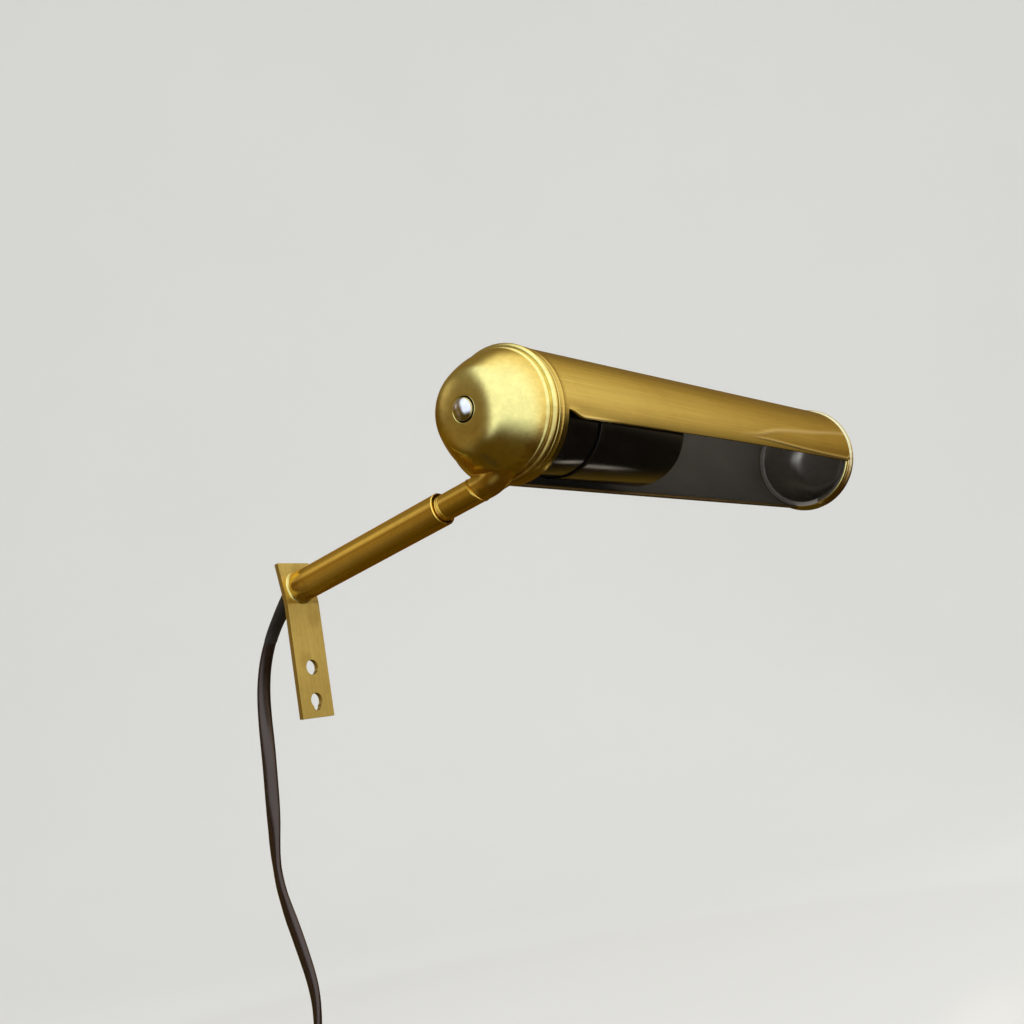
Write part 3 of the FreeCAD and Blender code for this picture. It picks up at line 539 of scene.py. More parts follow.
# The coil's strand, laid turn by turn round its own section.
def coilTurns():
    f = flexSizes
    centre, count = Vector(f["coilCentre"]), round(f["turns"] * f["perTurn"])
    points, facing = [], []
    for step in range(count + 1):
        turns = f["turns"] * step / count
        angle = radians(f["firstAngle"]) + turns * tau
        section = radians(f["sectionTurn"]) * turns
        outward = Vector((cos(angle), 0, sin(angle)))
        offset = outward * cos(section) + yWay * sin(section)
        points.append(centre + outward * f["coilRadius"] + offset * f["bundle"])
        facing.append(offset)
    return points, facing


# Reads back the smooth line of one open NURBS spline.
def splinePath(name, points):
    curve = bpy.data.curves.new(name, "CURVE")
    curve.dimensions = "3D"
    curve.resolution_u = 8
    spline = curve.splines.new("NURBS")
    spline.points.add(len(points) - 1)
    for knot, place in zip(spline.points, points):
        knot.co = (*place, 1)
    spline.order_u = 3
    spline.use_endpoint_u = True
    holder = bpy.data.objects.new(name, curve)
    bpy.context.collection.objects.link(holder)
    bpy.context.view_layer.update()
    mesh = bpy.data.meshes.new_from_object(holder)
    path = [vertex.co.copy() for vertex in mesh.vertices]
    bpy.data.objects.remove(holder)
    bpy.data.meshes.remove(mesh)
    return path


def ovalRing(centre, along, wideWay, wide, thick, count=20):
    across = (wideWay - along * wideWay.dot(along)).normalized()
    flat = along.cross(across)
    ring = []
    for i in range(count):
        angle = tau * i / count
        ring.append(centre + across * (wide / 2 * cos(angle)) + flat * (thick / 2 * sin(angle)))
    return ring


def pathDirections(path):
    last = len(path) - 1
    return [(path[min(i + 1, last)] - path[max(i - 1, 0)]).normalized() for i in range(last + 1)]


def makeFlex():
    coil, coilFacing = coilTurns()
    route = [Vector(point) / 1000 for point in flexRoute]
    knots = route + coil + [Vector(point) / 1000 for point in flexTail]
    facings = [twistAt(point.z) for point in route] + coilFacing + [-xWay] * len(flexTail)
    path = splinePath("flexLine", knots)
    rings = []
    for i, (centre, along) in enumerate(zip(path, pathDirections(path))):
        where = i / (len(path) - 1) * (len(knots) - 1)
        before = min(int(where), len(knots) - 2)
        facing = facings[before].lerp(facings[before + 1], where - before)
        rings.append(ovalRing(centre, along, facing, flexSizes["wide"], flexSizes["thick"]))
    flex = fromRings("flex", rings)
    count = len(rings[0])
    sheet = flex.data.uv_layers.new(name="flexMap")
    travelled = [0]
    for before, after in zip(path, path[1:]):
        travelled.append(travelled[-1] + (after - before).length)
    for face in flex.data.polygons:
        columns = [flex.data.loops[i].vertex_index % count for i in face.loop_indices]
        wraps = max(columns) == count - 1 and min(columns) == 0
        for i, column in zip(face.loop_indices, columns):
            row = flex.data.loops[i].vertex_index // count
            turn = 1 if wraps and column == 0 else column / count
            sheet.data[i].uv = (turn, travelled[row] * flexSizes["mapScale"])
    settle(flex, 60, "bracket", "flexSheath",
           ["mains_cord", "cord_coil", "cord_tail"])
    return flex, path


flex, flexPath = makeFlex()
print("flex laid:", len(flexPath), "rings")


# A thin tapered sleeve from the plate's hole along the flex.
def makeStrainRelief():
    reach, wall = 0.0215, (0.0005, 0.00014)
    steps = [i for i in range(len(flexPath)) if (flexPath[i] - flexPath[0]).length < reach]
    ahead = pathDirections(flexPath)
    inlet = [(armStart - armOut * 0.0012, 0.0041), (armStart - armOut * 0.0035, 0.0042)]
    rings = [ovalRing(centre, -armOut, xWay, 2 * radius, 2 * radius, 32)
             for centre, radius in inlet]
    for i in steps:
        share = i / steps[-1]
        skin = wall[0] + (wall[1] - wall[0]) * share
        wide = flexSizes["wide"] + 2 * skin
        flat = flexSizes["thick"] + 2 * skin
        thick = flat + max(1 - share * 2.2, 0) * (wide - flat)
        rings.append(ovalRing(flexPath[i], ahead[i], xWay, wide, thick, 32))
    sleeve = fromRings("strainRelief", rings)
    subdivide(sleeve)
    settle(sleeve, 50, "bracket", "plugPlastic", ["cord_bushing"])


makeStrainRelief()

plugSizes = {"x": -0.002, "y": 0.0219, "top": -0.252, "bottom": -0.288, "thick": 0.0136,
             "pinReach": 0.0093, "pinRadius": 2, "pinLength": 19, "edge": 0.0031}


def makePlug():
    p = plugSizes
    top = Vector((p["x"], p["y"], p["top"]))
    half = [(4.2, -9.5), (8.5, -13), (11, -17.5), (12.6, -21), (15.5, -24),
            (17.4, -28), (17.7, -36)]
    front = [(-x, z) for x, z in half] + half[::-1]
    body = drawOutline("plugBody", [
        top + (xWay * x + zWay * z) / 1000 + yWay * (p["thick"] / 2) for x, z in front])
    extrudeOutline((0, -p["thick"], 0))
    roundEdges(body, p["edge"], 5, 60)
    # The grip: a ribbed collar under the flex.
    outline = [(0, 1.5), (0, 3.4), (0.5, 3.9)]
    for rib in range(5):
        start = 1.2 + rib * 1.9
        outline += [(start, 4.1 + rib * 0.28), (start + 0.2, 3.5 + rib * 0.3),
                    (start + 0.7, 3.5 + rib * 0.32), (start + 0.9, 4.25 + rib * 0.32)]
    outline += [(11.6, 6), (13.5, 6.1), (13.5, 1.5)]
    grip = turnedPiece("plugGrip", outline, (top, -zWay, xWay), 48)
    roundEdges(grip, 0.00018, 2)
    settle(body, 45, "bracket", "plugPlastic", ["plug_body"])
    settle(grip, 40, "bracket", "plugPlastic")
    return [body, grip]


def makePins():
    pins = []
    p, radius, length = plugSizes, plugSizes["pinRadius"], plugSizes["pinLength"]
    for side, letter in ((-1, "A"), (1, "B")):
        centre = Vector((p["x"] + side * p["pinReach"], p["y"], p["bottom"]))
        line = (centre, -zWay, xWay)
        pin = turnedPiece(f"plugPin{letter}", [
            (9.5, 0), (9.5, radius), (length - 1.4, radius), (length - 0.5, radius - 0.5),
            (length, radius - 1.3), (length, 0)], line, 32, closed=False)
        roundEdges(pin, 0.0002, 2)
        sleeve = turnedPiece(f"pinSleeve{letter}", [
            (-0.4, 0), (-0.4, radius + 0.55), (0.5, radius + 0.5), (0.9, radius + 0.02),
            (9.6, radius + 0.02), (9.7, radius - 0.1), (9.7, 0)], line, 32, closed=False)
        for piece, material, slot in (
                (pin, "chromePlate", "chrome"), (sleeve, "plugPlastic", "plug_black")):
            pins.append(settle(piece, 35, "bracket", material))
    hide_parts("plug_pins")
    return pins


plugPieces = makePlug() + makePins()


# A rubber strap round the coil's bundle, with its end tucked under a loop.
def makeTie():
    centre, half = Vector((0.014, 0.0219, -0.1665)), 0.0022
    line = (centre, xWay, zWay)
    strap = turnedPiece("tieStrap", [(-3.5, 9.2), (-3.5, 10.1), (-3.1, 10.25), (3.1, 10.25),
                                     (3.5, 10.1), (3.5, 9.2), (0, 9.1)], line, 64)
    roundEdges(strap, 0.0002, 2)
    loop = turnedPiece("tieLoop", [(-4.1, 9.6), (-4.1, 10.9), (4.1, 10.9), (4.1, 9.6)], line, 64)
    makeActive(loop)
    bpy.ops.object.mode_set(mode="EDIT")
    for offset, normal, inner in ((-half, yWay, True), (half, yWay, False), (0, zWay, True)):
        bpy.ops.mesh.select_all(action="SELECT")
        bpy.ops.mesh.bisect(plane_co=centre + yWay * offset, plane_no=normal,
                            clear_inner=inner, clear_outer=not inner, use_fill=True)
    bpy.ops.object.mode_set(mode="OBJECT")
    roundEdges(loop, 0.0003, 2, 50)
    settle(strap, 40, "bracket", "tieRubber", ["cord_tie"])
    settle(loop, 40, "bracket", "tieRubber")
    return [strap, loop]


tiePieces = makeTie()
print("cord finished")


plateSizes = {
    "wide": 16.5, "thick": 2, "bottom": -19.8, "topRun": 10.5, "easing": 0.9, "edge": 0.00045,
    "footY": -1, "footZ": 32.1, "holes": [(0, 3), (-13, 2.9), (-15.2, 1.9)], "flexHole": 0.0043}


def makePlate():
    p, cosine, sine = plateSizes, cos(armAngle), sin(armAngle)
    thick, easing = p["thick"], p["easing"]
    footY, footZ = p["footY"], p["footZ"]
    front = footZ - (footY + thick) * cosine / sine
    back = front - thick * sine / (1 + cosine)
    topY, topZ = footY + p["topRun"] * sine, footZ + p["topRun"] * cosine
    side = [(-thick, p["bottom"]), (-thick, front - easing),
            (-thick + 0.02, front), (-thick + easing * sine, front + easing),
            (topY, topZ), (topY + thick * cosine, topZ - thick * sine),
            (easing * sine, back + easing), (0.02, back), (0, back - easing),
            (0, p["bottom"])]
    half = p["wide"] / 2000
    plate = drawOutline("plate", [Vector((-half, y / 1000, z / 1000)) for y, z in side])
    extrudeOutline((2 * half, 0, 0))
    drills = [((0, -0.001, z / 1000), radius / 1000, 0) for z, radius in p["holes"]]
    drills.append((armStart, p["flexHole"], armAngle))
    for place, radius, tilt in drills:
        clearSelection()
        bpy.ops.mesh.primitive_cylinder_add(vertices=56, radius=radius, depth=0.012,
                                            location=place, rotation=(pi / 2 + tilt, 0, 0))
        drill = bpy.context.object
        modify(plate, "BOOLEAN", operation="DIFFERENCE", object=drill, solver="EXACT")
        bpy.data.objects.remove(drill)
    roundEdges(plate, p["edge"], 3, 38)
    smoothSurface(plate, 30)
    modify(plate, "WEIGHTED_NORMAL", keep_sharp=True)
    settle(plate, None, "bracket", "plateBrass", ["mounting_plate"])


makePlate()
print("plate bent and drilled")


armSizes = {
    "outer": 6.25, "outerBore": 5.5, "mouth": 81.4, "inner": 4.9, "innerBore": 4.1,
    "innerStart": 16, "seam": 96.2, "ringEnd": 96.7, "ring": 5.08, "wear": [82, 82.7, 83.2],
    "slant": 2.5}


# How much further out the neck's seam lies, from none at the tube's top to most below it.
def seamShift(upward):
    return armSizes["slant"] * max(1 - upward, 0) ** 0.7


# Slants the end of a piece that meets the neck.
def slant(piece):
    for vertex in piece.data.vertices:
        x, radius, away = fromLine(armLine, vertex.co)
        if x > armSizes["seam"] - 1.5:
            vertex.co += armOut * seamShift(away.dot(armUp) / away.length) / 1000


def makeArm():
    outer, bore, mouth = armSizes["outer"], armSizes["outerBore"], armSizes["mouth"]
    tube = turnedPiece("armTube", [
        (0, outer), (2, outer), (40, outer), (mouth - 2, outer), (mouth - 0.25, outer),
        (mouth, outer - 0.2), (mouth, bore + 0.1), (mouth - 0.2, bore), (40, bore), (0, bore)],
        armLine, 72)
    settle(tube, 35, "bracket", "armBrass", ["arm_outer_tube"])

    inner, bore, wear = armSizes["inner"], armSizes["innerBore"], armSizes["wear"]
    start, seam = armSizes["innerStart"], armSizes["seam"]
    outline = [(start, bore), (start, inner - 0.15), (start + 0.3, inner), (start + 1, inner),
               (60, inner), (wear[0] - 0.5, inner)]
    for groove in wear:
        outline += [(groove - 0.12, inner), (groove, inner - 0.07), (groove + 0.12, inner)]
    outline += [(wear[-1] + 0.5, inner), (seam - 1, inner), (seam - 0.2, inner),
                (seam - 0.05, inner - 0.1), (seam, inner - 0.15), (seam, bore)]
    stem = turnedPiece("stemTube", outline, armLine, 72)
    slant(stem)
    settle(stem, 35, "head", "stemBrass", ["arm_inner_tube"])

    proud, end = armSizes["ring"], armSizes["ringEnd"]
    ring = turnedPiece("neckRing", [
        (seam, bore), (seam, proud - 0.12), (seam + 0.1, proud), (end - 0.1, proud),
        (end, proud - 0.12), (end, bore)], armLine, 72)
    slant(ring)
    settle(ring, 25, "head", "stemBrass", ["neck_ring"])

    solder = turnedPiece("footSolder", [
        (-0.2, 6.2), (-0.2, 6.75), (0.02, 6.95), (0.14, 6.8), (0.3, 6.55), (0.6, 6.36),
        (1, 6.27), (1.05, 6.2)], armLine, 96)
    tubeWall = 6.3
    for vertex in solder.data.vertices:
        flow = noise.noise(vertex.co * 420) * 0.00012 + noise.noise(vertex.co * 150) * 0.00025
        x, radius, away = fromLine(armLine, vertex.co)
        if radius > tubeWall:
            vertex.co += away.normalized() * flow + armOut * abs(flow) * 0.3
    subdivide(solder)
    settle(solder, 60, "bracket", "solderMetal", ["foot_solder_ring"])


makeArm()
print("arm turned")


capSizes = {
    "dome": [
        (-16.45, 4.55), (-16.5, 4.9), (-16.48, 6.2), (-16.4, 8), (-16.25, 9.6), (-16, 11.1),
        (-15.65, 12.4), (-15.2, 13.5), (-14.65, 14.35), (-14, 15.1), (-13, 15.93), (-12, 16.65),
        (-10, 18), (-8, 19.3), (-6, 20.5), (-4, 21.55), (-2, 22.4), (-1, 22.75), (0, 23.05)],
    "ridge": (1.3, 23, 0.9), "bead": (3.6, 24.1, 1.4),
    "skirt": [
        (5.1, 24.4), (5.15, 23.95), (5.4, 23.9), (6.8, 23.9), (6.9, 23.8), (6.9, 23.25), (7, 23.2),
        (8.6, 23.2), (8.7, 23.25), (8.7, 23.8), (8.8, 23.9), (10.3, 23.9), (10.5, 23.7),
        (10.5, 22.4)],
    "lining": [
        (3, 22.4), (0, 22), (-2, 21.3), (-4, 20.4), (-6, 19.35), (-8, 18.1), (-10, 16.8),
        (-12, 15.3), (-13.2, 13.9), (-14.2, 12.6), (-14.9, 10.8), (-15.3, 8), (-15.5, 4.55)],
    "neckRadius": 4.9, "neckWays": (4.9, 4.95), "neckTurn": (3.5, 25, 8.5)}


def makeNearCap():
    c = capSizes
    outline = c["dome"] + arcPoints(*c["ridge"], 170, 40, 7) + [(2.22, 23.5)]
    outline += arcPoints(*c["bead"], 196, 12, 10) + c["skirt"] + c["lining"]
    dome = turnedPiece("capDome", outline, shadeLine, 96)
    subdivide(dome)
    settle(dome, 60, "head", "domeBrass", ["near_end_cap"])


# The neck leaves its ring round and flares out on to the cap's underside.
def makeNeck():
    columns, rows = 64, 14
    profile = capSizes["dome"][2:] + [
        (1.3, 23.9), (2.3, 23.6), (3.6, 25.45), (4.6, 25.1), (5.1, 24.45), (8, 24)]
    middleTurn, middleReach = radians(12), 0.0235
    middle = shadeLine[0] + Vector((0, sin(middleTurn), -cos(middleTurn))) * middleReach
    rings = [[] for row in range(rows + 2)]
    for column in range(columns):
        angle = tau * column / columns
        sideways, upward = cos(angle), sin(angle)
        spoke = (xWay * sideways + armUp * upward) / 1000
        root = armStart + spoke * capSizes["neckRadius"]
        leave = armSizes["ringEnd"] + seamShift(upward)
        rings[0].append(root - spoke * 0.12 + armOut * (leave / 1000))
        rings[1].append(root + armOut * ((leave + 0.25) / 1000))
        first = root + armOut * ((leave + 0.5 + 1.2 * (1 - upward)) / 1000)
        x = sideways * capSizes["neckWays"][sideways > 0]
        level, swing, bend = capSizes["neckTurn"]
        turn = radians(level + swing * upward + bend * upward * upward)
        out = Vector((0, sin(turn), -cos(turn)))
        landing = shadeLine[0] + (xWay * x + out * (between(profile, x) - 0.06)) / 1000
        away = landing - middle
        slope = xWay + out * (between(profile, x + 0.5) - between(profile, x - 0.5))
        slope.normalize()
        across = Vector((0, cos(turn), sin(turn)))
        spreading = (slope * away.dot(slope) + across * away.dot(across)).normalized()
        running = (slope * armOut.dot(slope) + across * armOut.dot(across)).normalized()
        arrive = running.lerp(spreading, 0.08 + 0.6 * max(upward, 0) ** 2).normalized()
        gap = (landing - first).length
        second = first + armOut * gap * 0.5
        third = landing - arrive * gap * 0.34
        for row in range(rows):
            t = row / (rows - 1)
            rings[row + 2].append(first * (1 - t) ** 3 + second * 3 * t * (1 - t) ** 2
                                  + third * 3 * t * t * (1 - t) + landing * t ** 3)
    neck = fromRings("capNeck", rings, closeEnds=False)
    settle(neck, 60, "head", "neckBrass")


makeNearCap()
makeNeck()
print("near cap turned")


def makeButton():
    outline = [(-19.5, 0), (-19.47, 0.8), (-19.3, 1.7), (-18.95, 2.55), (-18.4, 3.3),
               (-17.7, 3.86), (-17.1, 4.1), (-16.6, 4.2), (-15.8, 4.2), (-15.62, 4.1),
               (-15.6, 3.8), (-15.6, 2.1), (-15.4, 1.9), (-5.7, 1.9), (-5.5, 1.7), (-5.5, 0)]
    button = turnedPiece("pushButton", outline, shadeLine, 64, closed=False)
    subdivide(button)
    settle(button, 50, "button", "chromePlate", ["switch_button"])


makeButton()


shadeSizes = {
    "radius": 25, "wall": 0.8, "start": 5.4, "end": 253, "window": 10.8, "edge": 14.2,
    "lowEdge": 109.5, "bow": 2.4, "rise": 5.9, "swing": 10.5, "pull": 18, "hemStart": 19,
    "hemEnd": 251, "leaf": 2.6, "rib": 0.22, "half": 140, "bowMiddle": 130, "bowReach": 120,
    "endLift": 2.2, "map": (300, 30)}
# How the sheet rolls near the window's upper edge, by millimetres back from it.
edgeRoll = [(0, 0), (0.2, 0.12), (0.4, 0.17), (0.65, 0.13), (1.1, 0.06), (1.7, 0),
            (2.6, -0.06), (3.3, -0.06), (4.3, -0.03), (5.5, 0)]
rollAlong = [(10.8, 0), (12.2, 0.7), (14, 1.2), (22, 1.2), (30, 0.6), (40, 0.1), (60, 0),
             (200, 0), (235, 0.35), (253, 0.4)]


# A point of the shade; the angle is in degrees below -Y, towards -Z.
def shadePoint(x, radius, angle):
    turn = radians(angle)
    return shadeLine[0] + Vector((x, -radius * cos(turn), -radius * sin(turn))) / 1000


# Moves a piece that runs straight along the window's upper edge on to its real line.
def followEdge(piece, rolled):
    s, backs = shadeSizes, []
    long, deep = s["map"]
    for vertex in piece.data.vertices:
        x, radius, away = fromLine(shadeLine, vertex.co)
        angle = degrees(atan2(-away.z, -away.y))
        back = radians((s["edge"] - angle) % 360) * s["radius"]
        if back > s["half"]:
            back = 0
        lift = s["rise"] * (1 - eased((x - s["window"]) / s["swing"]))
        lift -= s["bow"] * ((x - s["bowMiddle"]) / s["bowReach"]) ** 2
        if x > s["hemEnd"] + 0.2:
            lift += s["endLift"]
        lift *= max(1 - back / s["pull"], 0) ** 2
        if rolled and radius > s["radius"] - 0.3:
            radius += between(edgeRoll, back) * between(rollAlong, x)
        vertex.co = shadePoint(x, radius, angle - lift)
        backs.append((x / long, min(back, deep) / deep))
    sheet = piece.data.uv_layers.new(name="sheetMap")
    for loop in piece.data.loops:
        sheet.data[loop.index].uv = backs[loop.vertex_index]


def stretchAlong(stations):
    extrudeOutline(
        *[((after - before) / 1000, 0, 0) for before, after in zip(stations, stations[1:])])


# Faces that look towards the shade's line get the inside's dark grey-brown, the lower edge a
# darker brass as painted shade.
def finishShade(piece, outside):
    addFinishes(piece, outside, "shadeInside", "shadedEdgeBrass")
    for face in piece.data.polygons:
        away = fromLine(shadeLine, face.center)[2]
        low = degrees(atan2(-away.z, -away.y)) - shadeSizes["lowEdge"]
        if face.normal.dot(away.normalized()) < -0.5:
            face.material_index = 1
        elif abs(low) < 1.6 and face.center.x > shadeSizes["window"] / 1000:
            face.material_index = 2


def makeShade():
    s = shadeSizes
    inner = s["radius"] - s["wall"]
    whole = radians(360 - s["lowEdge"] + s["edge"]) * s["radius"]
    reaches = [0.06, 0.2, 0.4, 0.65, 0.85, 1.1, 1.35, 1.7, 2.1, 2.6] + [
        3 + 0.4 * i for i in range(33)]
    coarse = round((whole - 17.5) / 1.6)
    reaches += [16 + (whole - 17) * i / coarse for i in range(1, coarse + 1)]
    section = [(0, inner), (0, s["radius"] - 0.45), (0, s["radius"] - 0.25)]
    section += [(reach, s["radius"] - (0.12 if reach < 0.1 else 0)) for reach in reaches]
    section += [(whole - 0.4, s["radius"]), (whole - 0.1, s["radius"] - 0.15),
                (whole, s["radius"] - 0.45), (whole, inner)]
    section += [(whole * (1 - i / 110), inner) for i in range(1, 110)]
    stations = [
        10.8, 11.2, 11.7, 12.3, 13, 13.8, 14.7, 15.7, 16.8, 17.9, 19, 20.3, 22, 24, 27, 31, 36, 45,
        60, 80, 100, 120, 135, 150, 165, 180, 195, 210, 225, 238, 247, 251, 251.4, s["end"]]
    sheet = drawOutline("shadeSheet", [
        shadePoint(s["window"], radius, s["edge"] - degrees(reach / s["radius"]))
        for reach, radius in section])
    stretchAlong(stations)
    followEdge(sheet, True)
    finishShade(sheet, "sheetBrass")
    settle(sheet, 40, "shade", "sheetBrass", ["shade_tube"])

    rib = [(x, s["radius"] + s["rib"] * sin(pi * (x - 7) / 2) ** 2)
           for x in (7, 7.33, 7.67, 8, 8.33, 8.67, 9)]
    ring = turnedPiece("shadeRing", [(s["start"], inner), (s["start"], s["radius"] - 0.15),
                                     (s["start"] + 0.15, s["radius"])] + rib
                       + [(s["window"], s["radius"]), (s["window"], inner)], shadeLine, 160)
    finishShade(ring, "shadeBrass")
    settle(ring, 40, "shade", "shadeBrass")

    fold = s["wall"]
    for name, edge, way in (("upperHem", s["edge"], -1), ("lowerHem", s["lowEdge"], 1)):
        pitch = way * degrees(1 / inner)
        section = [(0, inner - 0.03)] + [
            (fold * (1 - cos(radians(a))), inner - fold * sin(radians(a)))
            for a in range(15, 91, 15)]
        section += [(s["leaf"] - 0.2, inner - fold), (s["leaf"], inner - fold + 0.2),
                    (s["leaf"], inner - 0.03)]
        hem = drawOutline(name, [
            shadePoint(s["hemStart"], radius, edge + reach * pitch) for reach, radius in section])
        stretchAlong(
            [s["hemStart"], 20.3, 22, 24, 27, 31, 36] + list(range(48, 241, 12)) + [s["hemEnd"]])
        if way < 0:
            followEdge(hem, False)
            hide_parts("window_hems")
        # The lower hem takes the darker brass: painted shade.
        settle(hem, 50, "shade", "shadeBrass" if way < 0 else "shadedEdgeBrass")


makeShade()
print("shade rolled")


farSizes = {
    "mirror": 258.9, "bead": (255.3, 24.4, 1.4), "skirt": 251.4, "skirtRadius": 24.15, "lip": 21.4,
    "lipWide": 1.6, "nose": 275.4, "floor": [(274.4, 4), (274.4, 0)],
    "bowl": [(253.05, 22.9), (253.3, 23.15), (256, 23.1)]}


# Its dome and bowl mirror the near cap's.
def makeFarCap():
    f = farSizes
    lip, lipEnd = f["lip"], f["skirt"] + f["lipWide"]
    bowlRadius, rimRadius, rimEnd, sheenSide = 23.3, 24.3, 256.8, -0.004
    outline = [(f["nose"], 0), (f["nose"], 2.5)]
    outline += [(f["mirror"] - x, radius) for x, radius in capSizes["dome"][2:]]
    outline += [(257.3, 23.5)] + arcPoints(*f["bead"], -16, 168, 10)
    outline += [(253.2, 24.6), (253.1, 24.2), (252.9, f["skirtRadius"]),
                (f["skirt"] + 0.2, f["skirtRadius"]), (f["skirt"], f["skirtRadius"] - 0.2),
                (f["skirt"], lip + 0.35), (f["skirt"] + 0.35, lip), (lipEnd - 0.2, lip),
                (lipEnd, lip + 0.2)] + f["bowl"]
    outline += [(f["mirror"] - x, radius) for x, radius in capSizes["lining"][1:-1]] + f["floor"]
    cap = turnedPiece("farCap", outline, shadeLine, 96, closed=False)
    subdivide(cap)
    addFinishes(cap, "domeBrass", "bowlMetal", "rimSheenAndShadeMetal", "lipSheenGrey")
    for face in cap.data.polygons:
        x, radius, away = fromLine(shadeLine, face.center)
        facesIn = face.normal.dot(away.normalized()) < 0.2 and face.normal.x < 0.5
        # The lip ring's half towards +Y takes a pale grey as a painted highlight; the other half
        # takes the bowl's metal.
        if x < lipEnd + 0.1 and radius < bowlRadius:
            face.material_index = 3 if away.y > sheenSide else 1
        elif facesIn and x > lipEnd - 0.3 and radius < bowlRadius:
            face.material_index = 1
        # The bead's outer band takes the paler rim metal: painted highlight.
        elif radius > rimRadius and x < rimEnd:
            face.material_index = 2
    settle(cap, 60, "shade", "domeBrass", ["far_end_cap"])


makeFarCap()
print("far cap turned")


holderSizes = {
    "rear": [
        (5.4, 3.7), (5.4, 8), (7.2, 8), (8.2, 9), (12.2, 18.6), (13.5, 20.2), (14.6, 20.7),
        (35.5, 20.7), (35.6, 20.6), (35.6, 19.3), (35.8, 19.3), (35.8, 18.3), (15, 18.3), (9.6, 6),
        (9, 3.7)],
    "skirt": [
        (35.8, 18.4), (35.8, 19.3), (36.9, 19.3), (37, 19.4), (37, 21.2), (39, 21.2), (94.5, 21.2),
        (97, 20.6), (98, 19.4), (98, 15.6), (97.4, 14.8), (95.8, 14.8), (95.6, 15.6), (94.9, 18.6),
        (93.5, 18.8), (63, 18.8), (40, 18.8)],
    "edge": 0.00025}


def makeHolder():
    for name, part, node in (
            ("holderRear", "rear", "holder_rear_cap"), ("holderSkirt", "skirt", "holder_skirt")):
        piece = turnedPiece(name, holderSizes[part], shadeLine, 96)
        roundEdges(piece, holderSizes["edge"], 3, 20)
        settle(piece, 35, "head", "holderPlastic", [node])


makeHolder()
print("lampholder moulded")


studio = {"floor": -0.318, "wall": 2.4, "round": 0.9, "ground": (0.86, 0.86, 0.85, 1),
          "world": 0.8, "target": (0.06, -0.1, 0.05), "tent": 1.3}


# A pale floor that curves up into a backdrop behind the lamp.
def makeSweep():
    away = Vector((0.7993, 0.6009, 0))
    side = Vector((-away.y, away.x, 0))
    bend = studio["wall"] - studio["round"]
    line = [(-3, 0), (0, 0), (bend, 0)]
    line += [(bend + studio["round"] * sin(radians(a)),
              studio["round"] * (1 - cos(radians(a)))) for a in range(10, 91, 10)]
    line += [(studio["wall"], 3.2)]
    low = Vector((0, 0, studio["floor"]))
    sweep = drawOutline("studioSweep", [
        low + away * d + Vector((0, 0, z)) - side * 3.5 for d, z in line], closed=False)
    bpy.ops.mesh.extrude_edges_move(TRANSFORM_OT_translate={"value": side * 7})
    leaveMesh(inside=True)
    smoothSurface(sweep, 60)
    shader, place = startMaterial("studioPaper", Roughness=0.85)
    dark = tuple(channel * 0.97 for channel in studio["ground"][:3]) + (1,)
    paper = blend(speckle(place, 3, 2), studio["ground"], dark)
    link(paper, shader.inputs["Base Color"])
    addFinishes(sweep, "studioPaper")


# An area light that faces the lamp.
def addSoftbox(name, towards, distance, size, radiance, colour=(1, 1, 1)):
    way = Vector(towards).normalized()
    bpy.ops.object.light_add(type="AREA", location=Vector(studio["target"]) + way * distance)
    light = bpy.context.object
    light.name = name
    light.rotation_euler = way.to_track_quat("Z", "Y").to_euler()
    light.data.shape = "RECTANGLE"
    light.data.size, light.data.size_y = size
    light.data.energy = radiance * pi * size[0] * size[1]
    light.data.color = colour
    light.visible_camera = light.visible_glossy = False


# Soft patches that the polished metal shows: centre, reach each way and brightness.
tentPatches = [
    ((-0.5, 0.72, 0.44), (0.45, 0.16, 0.3), 0.42), ((-0.5, 0.62, -0.2), (0.7, 0.3, 0.7), 0.12),
    ((0.55, 0.78, 0.3), (0.35, 0.35, 0.3), 0.25), ((0.83, 0.16, -0.53), (0.3, 0.075, 0.13), 1.2)]


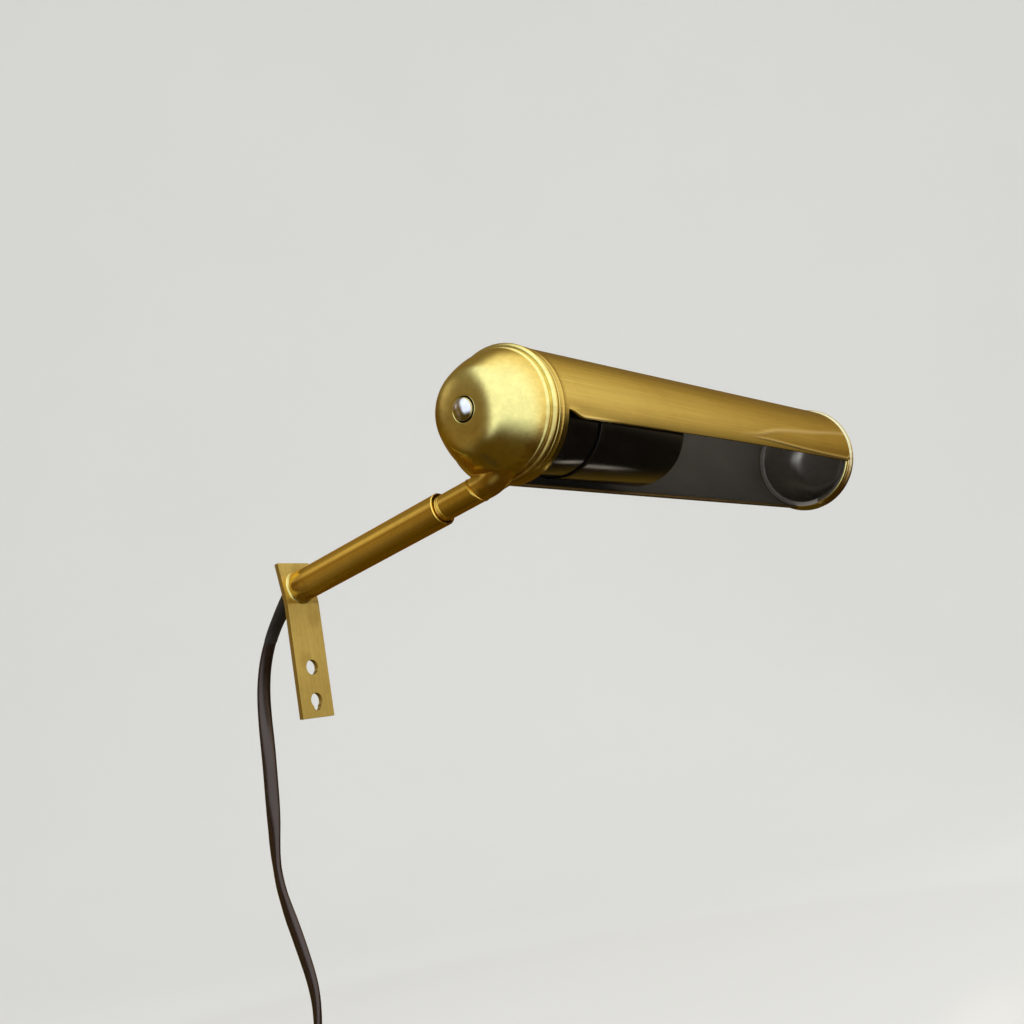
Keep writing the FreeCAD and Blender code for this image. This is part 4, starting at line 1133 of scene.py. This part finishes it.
# A cloth tent round the lamp that only reflections see: a bright front, dark sides and floor.
def makeTent():
    clearSelection()
    bpy.ops.mesh.primitive_uv_sphere_add(
        segments=64, ring_count=48, radius=studio["tent"], location=studio["target"])
    tent = bpy.context.object
    tent.name = "reflectionTent"
    for vertex in tent.data.vertices:
        vertex.co.z = max(vertex.co.z, studio["floor"] + 0.004 - studio["target"][2])
    material = bpy.data.materials.new("tentCloth")
    material.use_nodes = True
    tree = material.node_tree
    tree.nodes.remove(tree.nodes["Principled BSDF"])
    place = addNode("TexCoord", {}, tree)["Object"]
    way = withVectors("NORMALIZE", place)
    x, y, z = addNode("SeparateXYZ", {0: way})
    right = spread(x, 0.2, 0.75)
    slanted = withVectors("DOT_PRODUCT", way, (0.2, 1, -0.3))
    front = spread(slanted, calculate("MULTIPLY_ADD", right, 0.22, 0.14),
                   calculate("MULTIPLY_ADD", right, -0.3, -0.29))
    low = spread(minus(z, times(right, 0.6)), -0.82, -0.27)
    fade = times(spread(x, 0, 0.5, 1.1, 0.88), spread(x, 0.72, 0.92, 1, 0.62))
    glow = times(times(front, low), fade)
    tone = blend(spread(x, 0.25, -0.15), (1, 0.9, 0.68, 1), (1, 1.18, 1.35, 1))
    window = blend(1, tone, glow, "MULTIPLY")
    patches = 0
    for centre, reach, power in tentPatches:
        away = withVectors("DIVIDE", withVectors("SUBTRACT", way, centre), reach)
        away = withVectors("LENGTH", away)
        patches = plus(patches, spread(away, 1, 0.2, 0, power))
    patches = blend(1, (1, 0.88, 0.72, 1), patches, "MULTIPLY")
    dark = blend(spread(z, -0.6, 0), (0.085, 0.052, 0.004, 1), (0.17, 0.1, 0.01, 1))
    dark = blend(spread(z, 0.1, 0.6), dark, (0.25, 0.2, 0.12, 1))
    shadow = times(spread(x, 0.6, 0.8), spread(y, 0.5, 0.1))
    shadow = times(shadow, spread(z, 0.1, -0.1, 0, 0.88))
    dark = blend(shadow, dark, (0, 0, 0, 1))
    bright = blend(1, window, patches, "ADD")
    cloth = addNode("Emission", {"Color": blend(1, dark, bright, "ADD")})
    link(cloth[0], tree.nodes["Material Output"].inputs["Surface"])
    tent.data.materials.append(material)
    tent.visible_camera = tent.visible_diffuse = tent.visible_shadow = False
    tent.visible_transmission = False


makeSweep()
addSoftbox("keySoftbox", (-0.42, -0.72, 0.55), 1.5, (1.5, 1.1), 1.75, (1, 1, 0.97))
addSoftbox("sideSoftbox", (0.9, -0.25, 0.35), 1.8, (1.2, 1.2), 0.75, (1, 0.98, 0.94))
addSoftbox("backSoftbox", (-0.2, 0.8, 0.55), 1.6, (1.2, 0.6), 0.8)
makeTent()
world = bpy.data.worlds.new("studioWorld")
bpy.context.scene.world = world
world.use_nodes = True
world.node_tree.nodes["Background"].inputs["Color"].default_value = (0.95, 0.95, 0.93, 1)
world.node_tree.nodes["Background"].inputs["Strength"].default_value = studio["world"]
print("studio lit")
